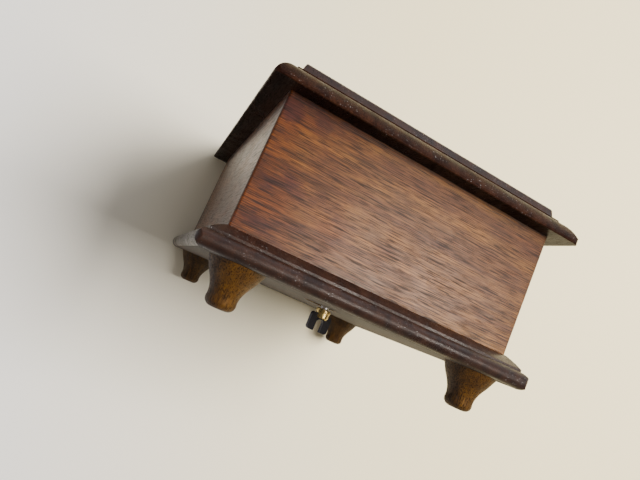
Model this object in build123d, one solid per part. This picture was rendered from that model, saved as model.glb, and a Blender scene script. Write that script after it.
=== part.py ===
from build123d import *
import math
import os

# Wind-up music box: a small stained wood case on turned feet, with a hinged moulded lid, a felt-lined
# compartment and an 18-note cylinder movement wound by a key under the base. Millimetres, +Z up,
# +X along the case's length towards the movement, -Y the front, +Y the hinged back. The origin is the
# centre of the bounding box at the level that the feet stand on.

# ---- case ----
BODY_LENGTH = 126.7
BODY_WIDTH = 100.0
BODY_HEIGHT = 42.75
WALL = 5.0
OVERHANG = 7.0
FOOT_HEIGHT = 13.3
BASE_THICKNESS = 8.8
LID_BOARD_THICKNESS = 6.8
LID_PANEL_THICKNESS = 3.5
CORNER_ROUND = 2.4
CORNER_PROUD = 0.06
BODY_CORNER_ROUND = 0.8
FOOT_INSET_X = 4.0
FOOT_INSET_Y = 7.7
TENON_RADIUS = 3.0
TENON_LENGTH = 6.0
GLUE_GAP = 0.05

UNDERSIDE = FOOT_HEIGHT
BASE_TOP = UNDERSIDE + BASE_THICKNESS
BODY_TOP = BASE_TOP + BODY_HEIGHT
PANEL_BOTTOM = BODY_TOP + LID_BOARD_THICKNESS
HALF_LENGTH = BODY_LENGTH / 2
HALF_WIDTH = BODY_WIDTH / 2
INNER_X = HALF_LENGTH - WALL
INNER_Y = HALF_WIDTH - WALL

# ---- inside ----
DIVIDER_X = 2.0
DIVIDER_THICKNESS = 4.0
DIVIDER_TOP = BODY_TOP - 1.85
FELT_THICKNESS = 1.5
FELT_GAP = 0.6
LINING_THICKNESS = 1.2
LINING_INSET = 1.5
COVER_BOTTOM = 54.0
COVER_THICKNESS = 1.5
COVER_GAP = 0.3
CLEAT_WIDTH = 3.0
CLEAT_HEIGHT = 4.0
FINGER_HOLE_RADIUS = 5.0

# ---- hinges ----
HINGE_X = 38.0
HINGE_LENGTH = 20.0
KNUCKLES = 5
KNUCKLE_GAP = 0.1
BARREL_RADIUS = 1.5
PIN_RADIUS = 0.75
PIN_BORE = 0.8
LEAF_THICKNESS = 0.9
LID_LEAF_THICKNESS = 0.7
LEAF_DROP = 10.0
LEAF_REACH = 4.5
HINGE_CLEARANCE = 0.3
HINGE_Y = HALF_WIDTH + BARREL_RADIUS
HINGE_Z = BODY_TOP + LID_LEAF_THICKNESS - BARREL_RADIUS
SCREW_SPACING = 12.0
SCREW_RADIUS = 0.8
SCREW_HEAD_RADIUS = 1.5
SCREW_HEAD_DEPTH = 0.7
BODY_SCREW_LENGTH = 4.3
LID_SCREW_LENGTH = 5.0
BODY_SCREW_Z = HINGE_Z - 6.4
LID_SCREW_Y = HALF_WIDTH - 2.6

# ---- movement: the winding axis, and what stands round it ----
WIND_X = 29.35
WIND_Y = -2.0
KEY_HOLE_RADIUS = 6.0
KEY_HOLE_SHIFT = -2.0
BED_THICKNESS = 2.2
BED_TOP = BASE_TOP + BED_THICKNESS
ARBOR_RADIUS = 1.5
RUNNING = 0.05
RATCHET_BOTTOM = BED_TOP + 0.5
RATCHET_THICKNESS = 1.2
RATCHET_TEETH = 12
RATCHET_RADIUS = 5.0
DRUM_BOTTOM = RATCHET_BOTTOM + RATCHET_THICKNESS + 0.5
DRUM_COVER_THICKNESS = 1.0
DRUM_TOP = 35.6
DRUM_RADIUS = 11.4
DRUM_WALL = 1.0
DRUM_FLANGE_RADIUS = 12.3
DRUM_FLANGE_THICKNESS = 1.2
SPRING_THICKNESS = 0.3
SPRING_TURNS = 7
SPRING_INNER = 3.2
SPRING_OUTER = 9.8

# ---- wheels of the playing train ----
CROWN_TEETH = 28
CROWN_MODULE = 0.8
CROWN_RADIUS = CROWN_TEETH * CROWN_MODULE / 2
CROWN_TOOTH_INNER = 10.3
CROWN_TOOTH_OUTER = 12.1
CROWN_DEDENDUM = 0.9
CROWN_ADDENDUM = 0.7
CROWN_TOOTH_ROOT_WIDTH = 1.15
CROWN_TOOTH_TIP_WIDTH = 0.5
PINION_TEETH = 14
PINION_WIDTH = 1.6
CYLINDER_Z = DRUM_TOP + CROWN_DEDENDUM + PINION_TEETH * CROWN_MODULE / 2
GEAR_MODULE = 0.5
CYLINDER_GEAR_TEETH = 40
GOVERNOR_PINION_TEETH = 10
GEAR_WIDTH = 1.8
GOVERNOR_ANGLE = 240.0
GOVERNOR_DISTANCE = (CYLINDER_GEAR_TEETH + GOVERNOR_PINION_TEETH) * GEAR_MODULE / 2
GOVERNOR_X = WIND_X + GOVERNOR_DISTANCE * math.cos(math.radians(GOVERNOR_ANGLE))
GOVERNOR_Z = CYLINDER_Z + GOVERNOR_DISTANCE * math.sin(math.radians(GOVERNOR_ANGLE))
WHEEL_TEETH = 20
WHEEL_WIDTH = 1.2
WORM_STARTS = 2
WORM_PITCH_RADIUS = 1.3
WORM_TIP_RADIUS = 1.7
WORM_ROOT_RADIUS = 0.85
WORM_LENGTH = 7.2
WORM_LEAD = WORM_STARTS * math.pi * GEAR_MODULE
WORM_Z = GOVERNOR_Z + WHEEL_TEETH * GEAR_MODULE / 2 + WORM_PITCH_RADIUS
WORM_SHAFT_RADIUS = 0.5
FAN_RADIUS = 4.8
FAN_LENGTH = 4.0
FAN_THICKNESS = 0.4

# ---- places along the cylinder's axis, from the winding axis ----
PINION_Y = WIND_Y + CROWN_RADIUS - PINION_WIDTH / 2
BRACKET_Y = WIND_Y + 12.9
BRACKET_THICKNESS = 1.4
BARREL_Y = WIND_Y + 14.9
BARREL_LENGTH = 20.8
CYLINDER_GEAR_Y = WIND_Y + 36.2
WHEEL_Y = WIND_Y + 39.5
WORM_Y = WHEEL_Y + WHEEL_WIDTH / 2
BACK_PLATE_Y = WIND_Y + 42.7
POST_Y = WIND_Y + 34.2
SHAFT_RADIUS = 1.0
GOVERNOR_SHAFT_RADIUS = 0.8
CYLINDER_RADIUS = 6.4
CYLINDER_WALL = 0.8
PIN_HEIGHT = 0.45
MUSIC_PIN_RADIUS = 0.2
PINS_PER_TRACK = 6

# ---- comb ----
NOTES = 18
NOTE_PITCH = 1.1
COMB_THICKNESS = 0.8
COMB_TIP_X = WIND_X + CYLINDER_RADIUS + PIN_HEIGHT + 0.25
COMB_ROOT_X = WIND_X + 17.1
COMB_END_X = WIND_X + 23.6
COMB_SLOT = 0.35
COMB_Y = BARREL_Y + BARREL_LENGTH / 2

# ---- stop wire and click ----
WIRE_RADIUS = 0.4
WIRE_Y = WORM_Y + 0.7
STOP_PIVOT_X = WIND_X - 4.5
STOP_PIVOT_Z = 46.5
STOP_FINGER_X = WIND_X - 17.5
STOP_FINGER_Z = WORM_Z + FAN_RADIUS + WIRE_RADIUS + 0.5
STOP_TIP_Z = BODY_TOP - LINING_THICKNESS - 0.5
STOP_STUD_RADIUS = 0.7
CLICK_PIVOT_X = WIND_X + 8.2
CLICK_PIVOT_Y = WIND_Y - 6.2
CLICK_STUD_RADIUS = 1.0

# ---- key ----
KEY_HUB_RADIUS = 2.7
KEY_HUB_TOP = 12.5
KEY_HUB_BOTTOM = 9.0
KEY_WING_TOP = 10.6
KEY_WING_BOTTOM = 4.1
KEY_WING_WIDTH = 9.6
KEY_WING_THICKNESS = 1.3
KEY_PRONG_WIDTH = 3.1
KEY_BAR_HEIGHT = 2.0
KEY_TURN = 20.0


def block(x0, x1, y0, y1, z0, z1):
    """A box between two corners."""
    middle = Pos((x0 + x1) / 2, (y0 + y1) / 2, (z0 + z1) / 2)
    return middle * Box(x1 - x0, y1 - y0, z1 - z0)


def post(x, y, z0, z1, radius):
    """A round bar along Z."""
    return Pos(x, y, (z0 + z1) / 2) * Cylinder(radius, z1 - z0)


def bar_y(x, z, y0, y1, radius):
    """A round bar along Y."""
    return Pos(x, (y0 + y1) / 2, z) * Rot(90, 0, 0) * Cylinder(radius, y1 - y0)


def bar_x(y, z, x0, x1, radius):
    """A round bar along X."""
    return Pos((x0 + x1) / 2, y, z) * Rot(0, 90, 0) * Cylinder(radius, x1 - x0)


def rounded_prism(length, width, radius, z0, z1):
    """An upright prism with rounded corners."""
    return Pos(0, 0, z0) * extrude(RectangleRounded(length, width, radius), amount=z1 - z0)


# ---------------------------------------------------------------- moulded boards


def moulded_section(half, edges, bottom_out, top_out, bottom_z, top_z):
    """The section across a board: the moulding on the right, its mirror on the left, joined by flats."""
    right = [Pos(half, 0, 0) * edge for edge in edges]
    left = [edge.mirror(Plane.YZ) for edge in right]
    low = Line((-half - bottom_out, bottom_z), (half + bottom_out, bottom_z))
    high = Line((-half - top_out, top_z), (half + top_out, top_z))
    return make_face(right + left + [low, high])


def moulded_board(edges, bottom_out, top_out, bottom_z, top_z, corner):
    """A board with the moulding on all four sides, mitred at corners that are then eased."""
    reach = HALF_LENGTH + 2 * OVERHANG
    ends = moulded_section(HALF_LENGTH, edges, bottom_out, top_out, bottom_z, top_z)
    sides = moulded_section(HALF_WIDTH, edges, bottom_out, top_out, bottom_z, top_z)
    along_y = extrude(Plane.XZ * ends, amount=reach, both=True)
    along_x = extrude(Plane.YZ * sides, amount=reach, both=True)
    widest = max(bottom_out, top_out, *[edge.bounding_box().max.X for edge in edges])
    reach_out = 2 * (widest + CORNER_PROUD)
    outline = rounded_prism(BODY_LENGTH + reach_out, BODY_WIDTH + reach_out, corner, bottom_z, top_z)
    return along_y & along_x & outline


def base_edges():
    """Base moulding: a weathered slope down to a small step, then a bullnose."""
    return [
        ThreePointArc((0.2, BASE_TOP), (2.4, BASE_TOP - 1.1), (4.4, BASE_TOP - 2.5)),
        Line((4.4, BASE_TOP - 2.5), (4.4, BASE_TOP - 3.25)),
        ThreePointArc((4.4, BASE_TOP - 3.25), (7.1, BASE_TOP - 5.9), (4.7, UNDERSIDE)),
    ]


def lid_edges():
    """Lid moulding: an upright nose, a thumbnail curve back to the body line and a small fillet."""
    return [
        Line((OVERHANG - 0.25, BODY_TOP), (OVERHANG, BODY_TOP + 0.3)),
        Line((OVERHANG, BODY_TOP + 0.3), (OVERHANG, BODY_TOP + 0.9)),
        ThreePointArc((OVERHANG, BODY_TOP + 0.9), (5.1, BODY_TOP + 3.9), (1.0, BODY_TOP + 6.25)),
        Line((1.0, BODY_TOP + 6.25), (1.0, PANEL_BOTTOM)),
    ]


def lid_panel_edges():
    """Raised panel: a riser that leans in, with a rounded top arris."""
    top = PANEL_BOTTOM + LID_PANEL_THICKNESS
    return [
        Line((-0.5, PANEL_BOTTOM), (-1.1, top - 1.1)),
        ThreePointArc((-1.1, top - 1.1), (-1.5, top - 0.3), (-2.3, top)),
    ]


# ---------------------------------------------------------------- wood case


def foot_places():
    """The four foot centres, front pair first."""
    x = HALF_LENGTH - FOOT_INSET_X
    y = HALF_WIDTH - FOOT_INSET_Y
    return [(-x, -y), (x, -y), (-x, y), (x, y)]


def turned_foot(x, y):
    """A turned foot: a bell that necks in above a rounded toe, with a round tenon on top."""
    bell = Spline(
        (8.9, UNDERSIDE), (8.35, 12.3), (7.3, 10.1), (6.0, 7.9), (5.05, 5.9), (4.6, 4.3), (4.55, 2.6),
    )
    toe = ThreePointArc((4.55, 2.6), (4.05, 0.75), (2.6, 0))
    rest = Polyline(
        (2.6, 0), (0, 0), (0, UNDERSIDE + TENON_LENGTH), (TENON_RADIUS, UNDERSIDE + TENON_LENGTH),
        (TENON_RADIUS, UNDERSIDE), (8.9, UNDERSIDE),
    )
    outline = make_face([bell, toe] + rest.edges())
    return Pos(x, y, 0) * revolve(Plane.XZ * outline, axis=Axis.Z)


def base_board():
    """Moulded base board with the key hole, the foot sockets and pilot holes for the movement."""
    board = moulded_board(base_edges(), 4.7, 0.2, UNDERSIDE, BASE_TOP, CORNER_ROUND)
    board -= post(WIND_X, WIND_Y + KEY_HOLE_SHIFT, UNDERSIDE - 1, BASE_TOP + 1, KEY_HOLE_RADIUS)
    socket_top = UNDERSIDE + TENON_LENGTH + 0.3
    for x, y in foot_places():
        board -= post(x, y, UNDERSIDE - 1, socket_top, TENON_RADIUS + GLUE_GAP)
    for x, y in movement_screw_places():
        board -= post(x, y, BASE_TOP - 5.0, BASE_TOP + 1, SCREW_RADIUS + GLUE_GAP)
    return board


def side_panel(sign):
    """Front or rear wall, mitred at both ends, with its outer corners eased."""
    outer, inner = sign * HALF_WIDTH, sign * INNER_Y
    outline = make_face(Polyline(
        (-HALF_LENGTH, outer), (HALF_LENGTH, outer), (INNER_X, inner), (-INNER_X, inner), close=True,
    ).edges())
    panel = Pos(0, 0, BASE_TOP) * extrude(outline, amount=BODY_HEIGHT)
    return panel & body_outline()


def end_panel(sign):
    """End wall, mitred at both ends, with its outer corners eased."""
    outer, inner = sign * HALF_LENGTH, sign * INNER_X
    outline = make_face(Polyline(
        (outer, -HALF_WIDTH), (outer, HALF_WIDTH), (inner, INNER_Y), (inner, -INNER_Y), close=True,
    ).edges())
    panel = Pos(0, 0, BASE_TOP) * extrude(outline, amount=BODY_HEIGHT)
    return panel & body_outline()


def body_outline():
    """The outside of the four walls."""
    return rounded_prism(BODY_LENGTH, BODY_WIDTH, BODY_CORNER_ROUND, BASE_TOP, BODY_TOP)


def rear_panel():
    """Rear wall with a groove behind each hinge barrel and pilot holes for the hinge screws."""
    panel = side_panel(1)
    for hinge_x in (-HINGE_X, HINGE_X):
        half = HINGE_LENGTH / 2 + HINGE_CLEARANCE
        panel -= bar_x(HINGE_Y, HINGE_Z, hinge_x - half, hinge_x + half, BARREL_RADIUS + HINGE_CLEARANCE)
        for place in body_screw_places(hinge_x):
            panel -= place * Pos(0, 0, -1) * Cylinder(SCREW_RADIUS + GLUE_GAP, 8)
    return panel


def divider():
    """Upright board between the compartment and the movement."""
    return block(DIVIDER_X, DIVIDER_X + DIVIDER_THICKNESS, -INNER_Y, INNER_Y, BASE_TOP, DIVIDER_TOP)


def cleat(sign):
    """Strip on a long wall that the movement's cover rests on."""
    inner, outer = sorted((sign * (INNER_Y - CLEAT_WIDTH), sign * INNER_Y))
    strip = block(
        DIVIDER_X + DIVIDER_THICKNESS, INNER_X, inner, outer, COVER_BOTTOM - CLEAT_HEIGHT, COVER_BOTTOM,
    )
    edge = strip.edges().filter_by(Axis.X).group_by(Axis.Z)[0].sort_by(Axis.Y)[0 if sign > 0 else -1]
    return chamfer(edge, 1.2)


def movement_cover():
    """Clear sheet over the movement, with a finger hole and a slot for the stop wire."""
    sheet = block(
        DIVIDER_X + DIVIDER_THICKNESS + COVER_GAP, INNER_X - COVER_GAP, COVER_GAP - INNER_Y,
        INNER_Y - COVER_GAP, COVER_BOTTOM, COVER_BOTTOM + COVER_THICKNESS,
    )
    sheet = fillet(sheet.edges().filter_by(Axis.Z), 1.0)
    sheet -= post(WIND_X, -30, COVER_BOTTOM - 1, COVER_BOTTOM + 3, FINGER_HOLE_RADIUS)
    slot = extrude(SlotOverall(5.0, 2.6), amount=4)
    sheet -= Pos(STOP_FINGER_X + 0.75, WIRE_Y, COVER_BOTTOM - 1) * slot
    return sheet


def floor_felt():
    """Felt pad on the compartment's floor."""
    pad = block(
        FELT_GAP - INNER_X, DIVIDER_X - FELT_GAP, FELT_GAP - INNER_Y, INNER_Y - FELT_GAP,
        BASE_TOP, BASE_TOP + FELT_THICKNESS,
    )
    return fillet(pad.edges().filter_by(Axis.Z), 2.0)


# ---------------------------------------------------------------- lid


def lid_board():
    """Moulded lid board, mortised underneath for the hinge leaves and their barrels."""
    board = moulded_board(lid_edges(), OVERHANG - 0.25, 1.0, BODY_TOP, PANEL_BOTTOM, CORNER_ROUND)
    for hinge_x in (-HINGE_X, HINGE_X):
        half = HINGE_LENGTH / 2
        board -= block(
            hinge_x - half, hinge_x + half, HALF_WIDTH - LEAF_REACH, HINGE_Y,
            BODY_TOP - 1, BODY_TOP + LID_LEAF_THICKNESS,
        )
        half += HINGE_CLEARANCE
        board -= block(
            hinge_x - half, hinge_x + half, HINGE_Y - BARREL_RADIUS - HINGE_CLEARANCE,
            HINGE_Y + BARREL_RADIUS + HINGE_CLEARANCE, BODY_TOP - 1, BODY_TOP + LID_LEAF_THICKNESS + 0.35,
        )
        for place in lid_screw_places(hinge_x):
            board -= place * Pos(0, 0, -2) * Cylinder(SCREW_RADIUS + GLUE_GAP, 8)
    return board


def lid_top_panel():
    """Raised panel on the lid board."""
    top = PANEL_BOTTOM + LID_PANEL_THICKNESS
    return moulded_board(lid_panel_edges(), -0.5, -2.3, PANEL_BOTTOM, top, 1.0)


def lid_lining():
    """Felt sheet under the lid."""
    inset = WALL + LINING_INSET
    return rounded_prism(
        BODY_LENGTH - 2 * inset, BODY_WIDTH - 2 * inset, 2.5, BODY_TOP - LINING_THICKNESS, BODY_TOP,
    )


# ---------------------------------------------------------------- hinges and screws


def countersunk_screw(length):
    """Slotted countersunk screw: its head's flat is at the origin and its shank runs to -Z."""
    outline = make_face(Polyline(
        (0, 0), (SCREW_HEAD_RADIUS, 0), (SCREW_RADIUS, -SCREW_HEAD_DEPTH), (SCREW_RADIUS, 1 - length),
        (0, -length), close=True,
    ).edges())
    screw = revolve(Plane.XZ * outline, axis=Axis.Z)
    return screw - Box(4, 0.35, 0.6)


def countersunk_hole():
    """The space that a countersunk screw takes in a leaf, with a little play."""
    outline = make_face(Polyline(
        (0, 0.2), (SCREW_HEAD_RADIUS + 0.05, 0.2), (SCREW_HEAD_RADIUS + 0.05, 0),
        (SCREW_RADIUS + GLUE_GAP, -SCREW_HEAD_DEPTH), (SCREW_RADIUS + GLUE_GAP, -3), (0, -3), close=True,
    ).edges())
    return revolve(Plane.XZ * outline, axis=Axis.Z)


def cheese_head_screw(head_radius, head_height, shank_radius, length):
    """Slotted cheese-head screw: its head sits on the origin and its shank runs to -Z."""
    head = Pos(0, 0, head_height / 2) * Cylinder(head_radius, head_height)
    head = fillet(head.edges().filter_by(GeomType.CIRCLE).sort_by(Axis.Z)[-1], head_height * 0.3)
    shank = Pos(0, 0, -length / 2) * Cylinder(shank_radius, length)
    slot = Pos(0, 0, head_height) * Box(3 * head_radius, 0.4, head_height)
    return head + shank - slot


def body_screw_places(hinge_x):
    """Screw places on the leaf on the rear wall, heads facing +Y."""
    y = HALF_WIDTH + LEAF_THICKNESS
    return [
        Pos(hinge_x + side * SCREW_SPACING / 2, y, BODY_SCREW_Z) * Rot(-90, 0, 0) for side in (-1, 1)
    ]


def lid_screw_places(hinge_x):
    """Screw places on the leaf under the lid, heads facing -Z."""
    return [
        Pos(hinge_x + side * SCREW_SPACING / 2, LID_SCREW_Y, BODY_TOP) * Rot(180, 0, 0)
        for side in (-1, 1)
    ]


def knuckle_spans(hinge_x, lid):
    """The lengths of barrel that belong to the lid's leaf, or to the body's."""
    step = HINGE_LENGTH / KNUCKLES
    start = hinge_x - HINGE_LENGTH / 2
    spans = []
    for index in range(1 if lid else 0, KNUCKLES, 2):
        low = start + index * step + (KNUCKLE_GAP / 2 if index else 0)
        high = start + (index + 1) * step - (KNUCKLE_GAP / 2 if index < KNUCKLES - 1 else 0)
        spans.append((low, high))
    return spans


def body_leaf(hinge_x):
    """Hinge leaf on the rear wall: a plate whose top curls round the pin in three knuckles."""
    face, half = HALF_WIDTH, HINGE_LENGTH / 2
    low = HINGE_Z - LEAF_DROP
    clear = HINGE_Z - BARREL_RADIUS - HINGE_CLEARANCE
    leaf = block(hinge_x - half, hinge_x + half, face, face + LEAF_THICKNESS, low, clear)
    leaf = fillet(leaf.edges().filter_by(Axis.Y).group_by(Axis.Z)[0], 1.2)
    for start, end in knuckle_spans(hinge_x, lid=False):
        leaf += block(start, end, face, face + LEAF_THICKNESS, clear - 0.5, HINGE_Z)
        leaf += bar_x(HINGE_Y, HINGE_Z, start, end, BARREL_RADIUS)
    leaf -= bar_x(HINGE_Y, HINGE_Z, hinge_x - half - 1, hinge_x + half + 1, PIN_BORE)
    for place in body_screw_places(hinge_x):
        leaf -= place * countersunk_hole()
    return leaf


def lid_leaf(hinge_x):
    """Hinge leaf in the lid's mortise: a plate whose edge curls round the pin in two knuckles."""
    half = HINGE_LENGTH / 2
    inner = HALF_WIDTH - LEAF_REACH
    clear = HINGE_Y - BARREL_RADIUS - HINGE_CLEARANCE
    low, high = BODY_TOP, BODY_TOP + LID_LEAF_THICKNESS
    leaf = block(hinge_x - half, hinge_x + half, inner, clear, low, high)
    for start, end in knuckle_spans(hinge_x, lid=True):
        leaf += block(start, end, clear - 0.5, HINGE_Y, low, high)
        leaf += bar_x(HINGE_Y, HINGE_Z, start, end, BARREL_RADIUS)
    leaf -= bar_x(HINGE_Y, HINGE_Z, hinge_x - half - 1, hinge_x + half + 1, PIN_BORE)
    for place in lid_screw_places(hinge_x):
        leaf -= place * countersunk_hole()
    return leaf


def hinge_pin(hinge_x):
    """Hinge pin, as long as the barrel."""
    half = HINGE_LENGTH / 2
    return bar_x(HINGE_Y, HINGE_Z, hinge_x - half, hinge_x + half, PIN_RADIUS)


def hinge_screws(places, length):
    """The screws of both leaves of one kind, as separate solids."""
    return [place * countersunk_screw(length) for hinge_x in (-HINGE_X, HINGE_X) for place in places(hinge_x)]


# ---------------------------------------------------------------- key and winding arbor


def key_hub():
    """Brass hub with a raised collar, bored for the arbor and slotted for the wing."""
    outline = make_face(Polyline(
        (0, KEY_HUB_BOTTOM), (KEY_HUB_RADIUS - 0.5, KEY_HUB_BOTTOM), (KEY_HUB_RADIUS - 0.2, KEY_HUB_BOTTOM + 0.4),
        (KEY_HUB_RADIUS - 0.2, KEY_HUB_TOP - 1.3), (KEY_HUB_RADIUS, KEY_HUB_TOP - 1.1),
        (KEY_HUB_RADIUS, KEY_HUB_TOP - 0.3), (KEY_HUB_RADIUS - 0.3, KEY_HUB_TOP), (0, KEY_HUB_TOP), close=True,
    ).edges())
    hub = revolve(Plane.XZ * outline, axis=Axis.Z)
    hub -= post(0, 0, KEY_WING_TOP + 0.1, KEY_HUB_TOP + 1, ARBOR_RADIUS + 0.02)
    slot_height = KEY_WING_TOP + 0.1 - KEY_HUB_BOTTOM + 1
    slot = Pos(0, 0, KEY_WING_TOP + 0.1 - slot_height / 2)
    hub -= slot * Box(20, KEY_WING_THICKNESS + 0.06, slot_height)
    return Pos(WIND_X, WIND_Y, 0) * Rot(0, 0, 90 + KEY_TURN) * hub


def key_wing():
    """Steel wing of the key: a bar with two rounded prongs that hang from it."""
    half = KEY_WING_WIDTH / 2
    height = KEY_WING_TOP - KEY_WING_BOTTOM
    plate = Rectangle(KEY_WING_WIDTH, height)
    plate = fillet(plate.vertices(), 1.2)
    gap = KEY_WING_WIDTH - 2 * KEY_PRONG_WIDTH
    notch_height = height - KEY_BAR_HEIGHT + 1
    notch = Rectangle(gap, notch_height)
    notch = fillet(notch.vertices().group_by(Axis.Y)[-1], gap / 2 - 0.3)
    plate -= Pos(0, -height / 2 - 1 + notch_height / 2) * notch
    wing = extrude(Plane.XZ * plate, amount=KEY_WING_THICKNESS / 2, both=True)
    wing = chamfer(wing.edges().filter_by(GeomType.LINE).filter_by(Axis.Z).sort_by(Axis.X)[0], 0.2)
    return Pos(WIND_X, WIND_Y, KEY_WING_BOTTOM + height / 2) * Rot(0, 0, 90 + KEY_TURN) * wing


def winding_arbor():
    """Steel arbor from the key up through the bedplate and the drum."""
    return post(WIND_X, WIND_Y, KEY_WING_TOP + 0.2, DRUM_TOP + 0.5, ARBOR_RADIUS)


def ratchet_wheel():
    """Saw-toothed wheel on the arbor, between the bedplate and the drum."""
    points = []
    step = 2 * math.pi / RATCHET_TEETH
    for index in range(RATCHET_TEETH):
        start = index * step
        points.append((RATCHET_RADIUS * math.cos(start), RATCHET_RADIUS * math.sin(start)))
        root = start + 0.12 * step
        points.append((0.82 * RATCHET_RADIUS * math.cos(root), 0.82 * RATCHET_RADIUS * math.sin(root)))
    outline = make_face(Polyline(*points, close=True).edges())
    wheel = extrude(outline, amount=RATCHET_THICKNESS) - Cylinder(ARBOR_RADIUS + 0.02, 10)
    return Pos(WIND_X, WIND_Y, RATCHET_BOTTOM) * wheel


def click():
    """Spring click: an eye on its stud, an arm beside the ratchet and a hooked tip."""
    arm = block(-7.9, 0, -0.45, 0.45, 0, RATCHET_THICKNESS)
    tip_face = make_face(Polyline((-7.9, 0.4), (-6.3, 0.4), (-7.9, 0.9), close=True).edges())
    tip = extrude(tip_face, amount=RATCHET_THICKNESS)
    eye = Pos(0, 0, RATCHET_THICKNESS / 2) * Cylinder(1.9, RATCHET_THICKNESS)
    piece = arm + tip + eye - Cylinder(CLICK_STUD_RADIUS + RUNNING, 10)
    return Pos(CLICK_PIVOT_X, CLICK_PIVOT_Y, RATCHET_BOTTOM) * piece


# ---------------------------------------------------------------- spring drum


def crown_tooth():
    """One tooth of the crown wheel, which points up and runs along +X from the centre."""
    top, bottom = CROWN_TOOTH_TIP_WIDTH / 2, CROWN_TOOTH_ROOT_WIDTH / 2
    height = CROWN_DEDENDUM + CROWN_ADDENDUM
    section = make_face(Polyline((-bottom, -0.1), (bottom, -0.1), (top, height), (-top, height), close=True).edges())
    return Pos(CROWN_TOOTH_INNER, 0, 0) * extrude(
        Plane.YZ * section, amount=CROWN_TOOTH_OUTER - CROWN_TOOTH_INNER,
    )


def drum_cup():
    """Spring drum: a cup that opens downwards, with crown teeth round its top."""
    flange = post(0, 0, DRUM_TOP - DRUM_FLANGE_THICKNESS, DRUM_TOP, DRUM_FLANGE_RADIUS)
    wall_bottom = DRUM_BOTTOM + DRUM_COVER_THICKNESS
    cup = flange + post(0, 0, wall_bottom, DRUM_TOP - DRUM_FLANGE_THICKNESS, DRUM_RADIUS)
    cup -= post(0, 0, wall_bottom - 1, DRUM_TOP - DRUM_FLANGE_THICKNESS, DRUM_RADIUS - DRUM_WALL)
    cup -= post(0, 0, wall_bottom - 1, DRUM_TOP + 1, ARBOR_RADIUS + RUNNING)
    tooth = Pos(0, 0, DRUM_TOP) * crown_tooth()
    cup += [Rot(0, 0, 90 + index * 360 / CROWN_TEETH) * tooth for index in range(CROWN_TEETH)]
    return Pos(WIND_X, WIND_Y, 0) * cup


def drum_cover():
    """Disc that closes the drum underneath."""
    disc = post(WIND_X, WIND_Y, DRUM_BOTTOM, DRUM_BOTTOM + DRUM_COVER_THICKNESS, DRUM_RADIUS)
    return disc - post(WIND_X, WIND_Y, DRUM_BOTTOM - 1, DRUM_TOP, ARBOR_RADIUS + RUNNING)


def mainspring():
    """Coiled flat spring inside the drum: a spiral strip on edge."""
    steps = SPRING_TURNS * 6
    growth = SPRING_OUTER - SPRING_INNER

    def ring(offset):
        """Points along the spiral, moved in or out by offset."""
        points = []
        for index in range(steps + 1):
            angle = 2 * math.pi * SPRING_TURNS * index / steps
            radius = SPRING_INNER + growth * index / steps + offset
            points.append((radius * math.cos(angle), radius * math.sin(angle)))
        return points

    inner, outer = ring(0), ring(SPRING_THICKNESS)
    outline = make_face([
        Spline(*inner), Line(inner[-1], outer[-1]), Spline(*outer), Line(outer[0], inner[0]),
    ])
    bottom = DRUM_BOTTOM + DRUM_COVER_THICKNESS + 0.3
    height = DRUM_TOP - DRUM_FLANGE_THICKNESS - 0.3 - bottom
    return Pos(WIND_X, WIND_Y, bottom) * extrude(outline, amount=height)


# ---------------------------------------------------------------- wheels


def gear_face(teeth, module, share, phase, addendum=0.8, dedendum=1.15):
    """Outline of a small cut wheel: each tooth has its share of the pitch and leans in to its tip."""
    pitch_radius = teeth * module / 2
    radii = (pitch_radius - dedendum * module, pitch_radius, pitch_radius + addendum * module)
    step = 360.0 / teeth
    halves = (share * step / 2 * 1.25, share * step / 2, share * step / 2 * 0.5)
    points = []
    for index in range(teeth):
        middle = phase + index * step
        flank = [(radii[0], -halves[0]), (radii[1], -halves[1]), (radii[2], -halves[2])]
        flank += [(radii[2], halves[2]), (radii[1], halves[1]), (radii[0], halves[0])]
        for radius, offset in flank:
            angle = math.radians(middle + offset)
            points.append((radius * math.cos(angle), radius * math.sin(angle)))
    return make_face(Polyline(*points, close=True).edges())


def wheel_along_y(face, x, z, y, width, bore):
    """A wheel cut from an outline, standing across Y at a place, with its bore."""
    wheel = extrude(Plane.XZ * face, amount=width, dir=(0, 1, 0))
    return Pos(x, y, z) * wheel - bar_y(x, z, y - 1, y + width + 1, bore)


def cylinder_pinion():
    """Pinion that the drum's crown teeth drive. A gap faces down at rest."""
    face = gear_face(PINION_TEETH, CROWN_MODULE, 0.38, 270 + 180 / PINION_TEETH)
    return wheel_along_y(face, WIND_X, CYLINDER_Z, PINION_Y, PINION_WIDTH, SHAFT_RADIUS + 0.02)


def cylinder_gear():
    """Large gear on the cylinder's shaft. A tooth faces the governor's pinion at rest."""
    face = gear_face(CYLINDER_GEAR_TEETH, GEAR_MODULE, 0.40, GOVERNOR_ANGLE)
    gear = wheel_along_y(face, WIND_X, CYLINDER_Z, CYLINDER_GEAR_Y, GEAR_WIDTH, SHAFT_RADIUS + 0.02)
    for index in range(5):
        angle = math.radians(GOVERNOR_ANGLE + 36 + index * 72)
        x, z = WIND_X + 5.6 * math.cos(angle), CYLINDER_Z + 5.6 * math.sin(angle)
        gear -= bar_y(x, z, CYLINDER_GEAR_Y - 1, CYLINDER_GEAR_Y + GEAR_WIDTH + 1, 2.2)
    return gear


def cylinder_shaft():
    """Steel shaft through the pinion, the pinned cylinder and the gear."""
    return bar_y(WIND_X, CYLINDER_Z, PINION_Y - 0.5, BACK_PLATE_Y + BRACKET_THICKNESS + 0.6, SHAFT_RADIUS)


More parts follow.
